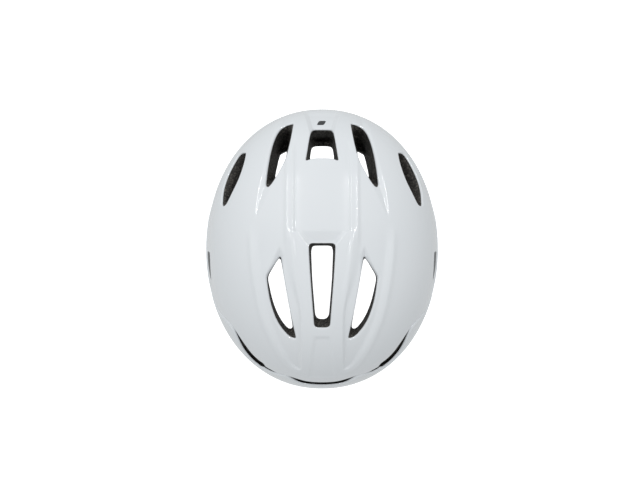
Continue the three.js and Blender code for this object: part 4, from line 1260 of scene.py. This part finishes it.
def rounded_copy(node, radius):
    """A CAD node's copy with its flat facets merged and its edges rounded."""
    piece = mesh_object(node + "_moulded", *cad_mesh(node))
    edit_mesh(piece, merge_facets)
    round_edges(piece, radius)
    return piece


# ---------- pads ----------

PAD_DROP = 2.6  # from the cavity to a pad's upper face
PAD_THICK = 5.0
WELD = 1.5  # width of the flat welded edge round a pad
WELD_HALF = 0.45  # half of its thickness


def under_cavity(x, y, depth):
    """Points a distance under the cavity's wall, along its normal."""
    step = 2.0
    slope_x = (cavity_height(x + step, y) - cavity_height(x - step, y)) / (2 * step)
    slope_y = (cavity_height(x, y + step) - cavity_height(x, y - step)) / (2 * step)
    normal = np.stack([-slope_x, -slope_y, np.ones_like(slope_x)], axis=-1)
    normal /= np.linalg.norm(normal, axis=-1, keepdims=True)
    return np.stack([x, y, cavity_height(x, y)], axis=-1) - normal * depth[..., None]


def cavity_radius(azimuth, z):
    above = dome((z - HEAD_LEVEL) / (HEAD_CROWN - HEAD_LEVEL), 0.0, head_radius(azimuth), HEAD_POWER)
    return np.where(z > HEAD_LEVEL, above, head_radius(azimuth) + HEAD_FLARE * (HEAD_LEVEL - z))


def stuffed(outline, half_thick, shoulder, bend, spacing=1.7):
    """Two sheets joined at a flat welded edge, over a closed flat outline.

    bend(s, t, h) puts a point of the flat pattern, at a height above its middle, in place.
    Returns points, triangles and the points' distances from the edge."""
    low, high = outline.min(axis=0), outline.max(axis=0)
    columns = np.arange(low[0], high[0], spacing)
    rows = np.arange(low[1], high[1], spacing * 0.866)
    s, t = np.meshgrid(columns, rows, indexing="ij")
    s = s + 0.5 * spacing * (np.arange(len(rows)) % 2)[None, :]
    inner = np.stack([s.ravel(), t.ravel()], axis=-1)
    inner = inner[inside_distance(outline, inner[:, 0], inner[:, 1]) > 0.6 * spacing]
    flat, faces = filled(outline, inner)
    depth = np.maximum(inside_distance(outline, flat[:, 0], flat[:, 1]), 0.0)
    on_edge = depth < 1e-3
    rise = WELD_HALF + (half_thick - WELD_HALF) * smoothstep(depth, WELD, WELD + shoulder) ** 0.7
    rise = rise * smoothstep(depth, -0.4, 0.6)
    rise[on_edge] = 0.0
    upper = bend(flat[:, 0], flat[:, 1], rise)
    lower = bend(flat[~on_edge, 0], flat[~on_edge, 1], -rise[~on_edge])
    return np.vstack([upper, lower]), twinned(faces, on_edge), np.concatenate([depth, depth[~on_edge]])


CLOTH_FRAMES = 14


def inflate(obj, depth, cap):
    """Blows the pad up with cloth held at its welded edge. No point moves further than the cap."""
    group = obj.vertex_groups.new(name="weld")
    group.add([i for i, d in enumerate(depth) if d < WELD], 1.0, "REPLACE")
    start = np.empty(len(obj.data.vertices) * 3)
    obj.data.vertices.foreach_get("co", start)
    cloth = obj.modifiers.new("cloth", "CLOTH")
    settings = cloth.settings
    settings.quality = 6
    settings.mass = 0.15
    settings.use_pressure = True
    settings.uniform_pressure_force = 4.0
    settings.effector_weights.gravity = 0.0
    settings.vertex_group_mass = group.name
    cloth.collision_settings.use_collision = False
    cloth.point_cache.frame_end = CLOTH_FRAMES
    scene = bpy.context.scene
    for step in range(1, CLOTH_FRAMES + 1):
        scene.frame_set(step)
    apply_modifiers(obj)
    scene.frame_set(1)
    moved = np.empty(len(start))
    obj.data.vertices.foreach_get("co", moved)
    offset = (moved - start).reshape(-1, 3)
    length = np.linalg.norm(offset, axis=1, keepdims=True)
    offset *= np.minimum(1.0, cap * MM / np.maximum(length, 1e-9))
    obj.data.vertices.foreach_set("co", (start.reshape(-1, 3) + offset).ravel())
    obj.vertex_groups.clear()


def pad(name, outline, bend, half_thick, shoulder, cap):
    points, faces, depth = stuffed(outline, half_thick, shoulder, bend)
    piece = mesh_object(name, points, faces)
    face_outwards(piece)
    inflate(piece, depth, cap)
    finer = piece.modifiers.new("finer", "SUBSURF")
    finer.levels = finer.render_levels = 1
    apply_modifiers(piece)
    return piece


def strip_outline(length, width, corner=5.0):
    half = width / 2
    ends = ((0, -half), (length, -half), (length, half), (0, half))
    return rounded([[x, y, corner] for x, y in ends], 1.6)


def along_plan(line, depth, side=1.0):
    """Puts a strip's flat pattern under the cavity, along a line of plan points."""
    line = np.array(line, dtype=float) * [side, 1.0]
    height = cavity_height(line[:, 0], line[:, 1])
    run = run_along(np.column_stack([line, height]))

    def bend(s, t, h):
        x = np.interp(s, run, line[:, 0]) + t
        y = np.interp(s, run, line[:, 1])
        return under_cavity(x, y, depth - h)

    return run[-1], bend


CENTRE_PAD_LINE = [[0, -80], [0, -64], [0, -46], [0, -20]]
CROWN_PAD_LINE = [[30, -52], [29, -20], [27, 15], [24, 60]]
WING_BOW = 0.008  # the cradle's wings run at this times x squared
WING_PAD_AT = 26.0  # x of the pads on them
BROW_REACH = 44.5  # degrees to each side
BROW_LEVELS = (-88.6, -68.4)


def pressed(bend, lines, width=1.3, depth=0.8):
    """Adds pressed channels across a pad's pattern, at distances along it, on both faces."""

    def grooved(s, t, h):
        groove = sum(bump(s, at, width) for at in lines)
        return bend(s, t, h - np.sign(h) * np.minimum(np.abs(h), depth) * groove)

    return grooved


def centre_pad():
    length, bend = along_plan(CENTRE_PAD_LINE, PAD_DROP + PAD_THICK / 2)
    bend = pressed(bend, [length * share for share in (0.25, 0.5, 0.75)])
    return pad("centre_pad_cushion", strip_outline(length, 24.0), bend, half_thick=2.0, shoulder=4.0, cap=0.6)


def crown_pad(side, name):
    length, bend = along_plan(CROWN_PAD_LINE, PAD_DROP + PAD_THICK / 2, side)
    bend = pressed(bend, [length * share for share in (0.2, 0.4, 0.6, 0.8)])
    outline = strip_outline(length, 12.0)
    return pad(name + "_crown_pad_cushion", outline, bend, half_thick=2.0, shoulder=2.8, cap=0.6)


def brow_pad():
    low, high = BROW_LEVELS
    reach = math.radians(BROW_REACH)
    radius = 94.0  # that turns the pad's length into azimuths
    gap, thick = 0.5, 2.2

    def bend(s, t, h):
        azimuth = s / radius - reach
        z = (low + high) / 2 + t
        return polar(azimuth, cavity_radius(azimuth, z) - gap - thick / 2 + h, z)

    length = 2 * reach * radius
    bend = pressed(bend, [length * share for share in (0.2, 0.4, 0.6, 0.8)], 1.3, 0.4)
    outline = strip_outline(length, high - low, 7.0)
    return pad("brow_pad_cushion", outline, bend, half_thick=0.95, shoulder=3.0, cap=0.2)


def occipital_pad(side, name):
    """An oval on the cradle's wing, on the side of the head."""
    low, high = (np.array(corner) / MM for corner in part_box(name + "_occipital_pad"))
    middle = (low + high) / 2
    lean = side * math.atan(2 * WING_BOW * WING_PAD_AT)
    across, up = 9.2, 6.2
    turn = np.linspace(0.0, 2 * math.pi, 40, endpoint=False)
    outline = np.stack([across * np.cos(turn), up * np.sin(turn)], axis=-1)

    def bend(s, t, h):
        x = middle[0] + s * math.cos(lean) - h * math.sin(lean)
        y = middle[1] - s * math.sin(lean) - h * math.cos(lean)
        return np.stack([x, y, middle[2] + t], axis=-1)

    return pad(name + "_occipital_pad_cushion", outline, bend, half_thick=1.45, shoulder=3.0, cap=0.3)


# ---------- webbing ----------

STRAP_WIDTH = 15.0
STRAP_HALF = 0.75  # half of its thickness
DIVIDER = np.array([78.0, -14.0, -160.0])
DIVIDER_REACH = 14.0  # from its middle to where a side strap starts
DIVIDER_FOOT = 11.0  # and down to where the chin strap's hinge starts


def at_rim(turn, radius):
    azimuth = math.radians(turn)
    return polar(azimuth, radius, rim_level(azimuth))


FRONT_ANCHOR = at_rim(66.0, 95.0)
REAR_ANCHOR = at_rim(140.0, 104.0)
# The chin strap's centre line from a divider down to near the middle, as [x, z].
LOOP_HALF = [[78, -171.5], [75, -190], [64.5, -208], [47, -222], [24, -231.5]]


def chin_curve(steps=400):
    """The chin strap's centre line from left to right, as points at even distances, and its length.

    It is a centripetal Catmull-Rom curve through LOOP_HALF and its mirror image."""
    points = [[x, z] for x, z in LOOP_HALF] + [[0, -235]] + [[-x, z] for x, z in LOOP_HALF[::-1]]
    points = np.array(points, dtype=float)
    first, last = 2 * points[0] - points[1], 2 * points[-1] - points[-2]
    points = np.vstack([first, points, last])
    line = []
    for a, b, c, d in zip(points, points[1:], points[2:], points[3:]):
        gaps = [np.linalg.norm(q - p) ** 0.5 for p, q in ((a, b), (b, c), (c, d))]
        t0, t1, t2, t3 = np.concatenate([[0.0], np.cumsum(gaps)])
        t = np.linspace(t1, t2, 40, endpoint=False)[:, None]
        a1 = (t1 - t) / (t1 - t0) * a + (t - t0) / (t1 - t0) * b
        a2 = (t2 - t) / (t2 - t1) * b + (t - t1) / (t2 - t1) * c
        a3 = (t3 - t) / (t3 - t2) * c + (t - t2) / (t3 - t2) * d
        b1 = (t2 - t) / (t2 - t0) * a1 + (t - t0) / (t2 - t0) * a2
        b2 = (t3 - t) / (t3 - t1) * a2 + (t - t1) / (t3 - t1) * a3
        line.append((t2 - t) / (t2 - t1) * b1 + (t - t1) / (t2 - t1) * b2)
    line = np.vstack([*line, points[-2:-1]])
    run = run_along(line)
    x, z = points_at(line, run, np.linspace(0.0, run[-1], steps + 1)).T
    return np.stack([x, np.full_like(x, DIVIDER[1]), z], axis=-1), run[-1]


def ribbon(name, path, across, width):
    """Webbing along a path: two faces with a thicker woven edge. width(distance) is its width.

    The corner attribute "weave" holds millimetres along and across the strap, for the material."""
    path = np.asarray(path, dtype=float)
    run = run_along(path)
    way = np.gradient(path, axis=0)
    across = np.array(across, dtype=float) / np.linalg.norm(across)
    face = np.cross(way, across)
    face /= np.linalg.norm(face, axis=1, keepdims=True)
    section = []  # shares of the half width, and heights
    section += [(-0.96, 1.0), (-0.86, 0.94), (-0.8, 0.82), (-0.4, 0.8), (0.0, 0.8), (0.4, 0.8)]
    section += [(0.8, 0.82), (0.86, 0.94), (0.96, 1.0), (1.0, 0.6), (1.0, -0.6)]
    section += [(-share, -height) for share, height in section[:9]] + [(-1.0, -0.6), (-1.0, 0.6)]
    points, weave = [], []
    for i, (at, distance) in enumerate(zip(path, run)):
        half = width(distance, run[-1]) / 2
        for share, height in section:
            points.append(at + across * share * half + face[i] * height * STRAP_HALF)
            weave.append((distance, share * half, 0.0))
    piece = mesh_object(name, points, tube_faces(len(path), len(section)))
    face_outwards(piece)
    attribute = piece.data.attributes.new("weave", "FLOAT_VECTOR", "POINT")
    attribute.data.foreach_set("vector", np.array(weave).ravel())
    return piece


def full_width(distance, length):
    return STRAP_WIDTH


def round_end(distance, length):
    """The width near the end that swings under the divider."""
    radius = STRAP_WIDTH / 2
    inside = max(0.0, radius - distance - 0.3)
    return 2 * math.sqrt(radius**2 - inside**2)


HANGER_REACH = 6.0  # how far down the strap an anchor's hanger reaches


def plate(name, outline, at, right, up, thick, radius=0.35):
    """A flat plate with rounded edges: a closed outline in the plane of two directions."""
    right, up = np.array(right, dtype=float), np.array(up, dtype=float)
    normal = np.cross(right, up)
    flat = at + outline[:, :1] * right + outline[:, 1:] * up
    points = np.vstack([flat - normal * thick / 2, flat + normal * thick / 2])
    piece = mesh_object(name, points, tube_faces(2, len(outline)))
    face_outwards(piece)
    round_edges(piece, radius)
    return piece


def chin_hinge(side, name):
    """Two cheeks and a rivet that hang the chin strap under a divider."""
    mirror = np.array([side, 1.0, 1.0])
    x, y, z = DIVIDER
    pivot = np.array([x - 0.9, y, z - DIVIDER_FOOT - STRAP_WIDTH / 2 - 0.2])
    up = np.array([0.07, 0.0, 1.0]) / math.hypot(0.07, 1.0)
    outwards = np.array([up[2], 0.0, -up[0]])
    corners = [[-5.4, 12.5, 1.5], [5.4, 12.5, 1.5], [4.4, 0, 3], [3.2, -4.2, 2.5]]
    corners += [[-3.2, -4.2, 2.5], [-4.4, 0, 3]]
    turn = np.linspace(0.0, 2 * math.pi, 20, endpoint=False)
    circle = 1.9 * np.stack([np.cos(turn), np.sin(turn)], axis=-1)
    parts = []
    for offset, thick, label, outline in (
        (2.5, 1.1, "_outer_cheek", rounded(corners, 1.0)),
        (-2.5, 1.1, "_inner_cheek", rounded(corners, 1.0)),
        (0.0, 7.4, "_rivet", circle),
    ):
        at = (pivot + outwards * offset) * mirror
        parts.append(plate(name + label, outline, at, (0.0, 1.0, 0.0), up * mirror, thick, 0.3))
    return parts


def side_strap(anchor, side, name):
    """A side strap from its divider up to its anchor: the webbing, its stitching and the hanger."""
    way = np.array([0.0, anchor[1] - DIVIDER[1], anchor[2] - 8.0 - DIVIDER[2]])
    way /= np.linalg.norm(way)
    foot = DIVIDER + way * (DIVIDER_REACH + 0.6)
    top = anchor - [0.0, 0.0, 3.6 + STRAP_WIDTH / 2 * abs(way[1])]
    mirror = np.array([side, 1.0, 1.0])
    path = np.linspace(foot, top, 25) * mirror
    across = np.array([0.0, way[2], -way[1]])
    strap = ribbon(name + "_webbing", path, across, full_width)
    thread = box_stitch(name + "_stitching", path, across, HANGER_REACH + 1.5)
    way = (path[-1] - path[0]) / np.linalg.norm(path[-1] - path[0])
    rise = np.array([0.0, 0.0, anchor[2] - top[2] - 2.6])
    u, w = rise @ across, rise @ way
    half = STRAP_WIDTH / 2 + 0.4
    corners = [[-half, -HANGER_REACH, 2], [half, -HANGER_REACH, 2], [half, 0.5, 3], [u + 4.8, w, 1]]
    corners += [[u - 4.8, w, 1], [-half, 0.5, 3]]
    outwards = np.cross(across, way)
    outwards *= side * np.sign(outwards[0])
    clear = STRAP_HALF + 0.95
    hanger = plate(name + "_hanger", rounded(corners, 1.2), path[-1] + outwards * clear, across, way, 1.5)
    return strap, thread, hanger


def chin_path(start, end, steps):
    """Points along the chin strap's loop, between two shares of its length from the left."""
    curve = chin_curve()[0]
    at = np.linspace(start, end, steps + 1) * (len(curve) - 1)
    return points_at(curve, np.arange(len(curve)), at)


STITCH = 2.2  # length of a stitch
THREAD = 0.28  # radius of the thread


def stitches(name, ends):
    """Short raised stitches, one for each pair of end points with the face's normal."""
    rings = ((0.0, 0.25), (0.12, 0.8), (0.5, 1.0), (0.88, 0.8), (1.0, 0.25))  # shares of length and radius
    size = 6
    points, faces = [], []
    for a, b, normal in ends:
        side = np.cross((b - a) / np.linalg.norm(b - a), normal)
        faces += tube_faces(len(rings), size, len(points))
        for share, girth in rings:
            lift = math.sin(math.pi * share) * 0.12
            for k in range(size):
                turn = k * math.pi / 3
                offset = side * math.cos(turn) + normal * (math.sin(turn) + lift / THREAD)
                points.append(a + (b - a) * share + offset * THREAD * girth)
    piece = mesh_object(name, points, faces)
    face_outwards(piece)
    return piece


def box_stitch(name, path, across, margin, length=9.0):
    """A sewn box with a cross in it, near the end of a strap, on both faces."""
    across = np.array(across, dtype=float) / np.linalg.norm(across)
    end, way = path[-1], path[-2] - path[-1]
    way /= np.linalg.norm(way)
    face = np.cross(way, across)
    half = STRAP_WIDTH / 2 - 2.0
    corners = [(margin, -half), (margin + length, -half), (margin + length, half), (margin, half)]
    runs = list(zip(corners, corners[1:] + corners[:1]))
    runs += [(corners[0], corners[2]), (corners[1], corners[3])]
    ends = []
    for (s0, t0), (s1, t1) in runs:
        size = math.hypot(s1 - s0, t1 - t0)
        count = int(size / (STITCH + 0.5))
        for k in range(count):
            pair = []
            for share in ((k + 0.12) / count, (k + 0.88) / count):
                s, t = s0 + (s1 - s0) * share, t0 + (t1 - t0) * share
                pair.append(end + way * s + across * t)
            for sign in (1.0, -1.0):
                lift = face * sign * (STRAP_HALF * 0.8 + 0.05)
                ends.append((pair[0] + lift, pair[1] + lift, face * sign))
    return stitches(name, ends)


# ---------- the whole helmet ----------

BODY_OF = {n: body for body, nodes in frame["record"]["behaviour"]["bodies"].items() for n in nodes}
SLOT_OF = {row["node"]: row["material_slot"] for row in frame["record"]["subparts"]}
BUCKLE_SHARE = 0.395  # where the buckle sits along the chin strap's loop
BUCKLE_GRIP = 18.0  # from the buckle's middle to where each strap comes out of it


def dress(piece, material, slot, *nodes):
    """Gives a piece its material and hides the CAD nodes that it stands for. The slot is not used."""
    piece.data.materials.clear()
    piece.data.materials.append(material)
    if nodes:
        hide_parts(*nodes)


def finish_piece(piece, body, material, slot, *nodes):
    """Dresses a piece and fixes it to its body."""
    dress(piece, material, slot, *nodes)
    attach(piece, body)


EDGE_RADII = {"dial_knob": 0.5, "dial_housing": 0.8, "dial_cover": 0.4, "cradle": 0.35}
FINE_EDGE = 0.12  # on small pieces
SMALL = ("dial_pinion", "dial_click_ring", "base_magnet", "slider_magnet", "left_headband", "right_headband")


def build_hard_parts(finishes):
    """Copies of the moulded and pressed CAD nodes, with their edges rounded."""
    for node, slot in SLOT_OF.items():
        if slot in finishes:
            radius = FINE_EDGE if node in SMALL else EDGE_RADII.get(node, 0.3)
            piece = rounded_copy(node, radius)
            finish_piece(piece, BODY_OF[node], finishes[slot], slot, node)


def build_pads(fabric):
    pads = [(centre_pad(), "centre_pad"), (brow_pad(), "brow_pad")]
    for side, name in ((1, "left"), (-1, "right")):
        pads.append((crown_pad(side, name), f"{name}_crown_pad"))
        pads.append((occipital_pad(side, name), f"{name}_occipital_pad"))
    for piece, node in pads:
        finish_piece(piece, BODY_OF[node], fabric, "pad", node)


def build_straps(webbing, thread, plastic, steel):
    for side, name in ((1, "left"), (-1, "right")):
        for anchor, place in ((FRONT_ANCHOR, "front"), (REAR_ANCHOR, "rear")):
            node = f"{name}_{place}_strap"
            strap, sewing, hanger = side_strap(anchor, side, node)
            finish_piece(strap, "helmet", webbing, "webbing", node)
            finish_piece(sewing, "helmet", thread, "webbing")
            finish_piece(hanger, "helmet", plastic, "nylon")
        *cheeks, rivet = chin_hinge(side, name + "_chin_hinge")
        for cheek in cheeks:
            finish_piece(cheek, "helmet", plastic, "buckle")
        finish_piece(rivet, "helmet", steel, "steel")
    across = (0.0, 1.0, 0.0)
    reach = BUCKLE_GRIP / chin_curve()[1]
    left = chin_path(0.0, BUCKLE_SHARE - reach, 70)
    strap = ribbon("left_chin_strap_webbing", left, across, round_end)
    finish_piece(strap, "chin", webbing, "webbing", "left_chin_strap")
    sewing = box_stitch("left_chin_strap_stitching", left, across, 1.4)
    finish_piece(sewing, "chin", thread, "webbing")
    # the right strap runs from its divider to the buckle; it is fixed to no body
    right = chin_path(1.0, BUCKLE_SHARE + reach, 106)
    strap = ribbon("right_chin_strap_webbing", right, across, round_end)
    dress(strap, webbing, "webbing", "right_chin_strap", "chin_strap_loop")
    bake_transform(strap)
    sewing = box_stitch("chin_strap_loop_stitching", right, across, 1.4)
    finish_piece(sewing, "buckle_slide", thread, "webbing")


make_camera()
make_floor()
make_light()
white = gloss_white()
foam = bead_foam()
upper, lower = build_shells()
finish_piece(upper, "helmet", white, "shell", "upper_shell")
finish_piece(lower, "helmet", white, "shell", "lower_shell")
finish_piece(foam_liner(), "helmet", foam, "foam", "foam_liner")
ink = moulded_plastic("printed_ink", (0.018, 0.019, 0.021), (0.030, 0.031, 0.034), 0.3, 900.0)
for mark in (front_mark(), side_mark(1, "left"), side_mark(-1, "right")):
    finish_piece(mark, "helmet", ink, "nylon")
build_pads(knit())
steel = polished_steel()
nylon = moulded_plastic("satin_nylon", (0.014, 0.014, 0.016), (0.026, 0.026, 0.029), 0.42, 1800.0)
acetal = moulded_plastic("textured_acetal", (0.012, 0.012, 0.013), (0.022, 0.022, 0.024), 0.36, 1300.0)
rubber = moulded_plastic("soft_rubber", (0.020, 0.020, 0.022), (0.034, 0.034, 0.037), 0.72, 2600.0)
hook_tape = moulded_plastic("hook_tape", (0.008, 0.008, 0.009), (0.030, 0.030, 0.032), 0.9, 1500.0)
webbing = woven("webbing_weave", (0.007, 0.007, 0.008), (0.042, 0.043, 0.046))
thread = spun_thread()
build_straps(webbing, thread, nylon, steel)
build_hard_parts({"nylon": nylon, "buckle": acetal, "rubber": rubber, "hook": hook_tape, "steel": steel})
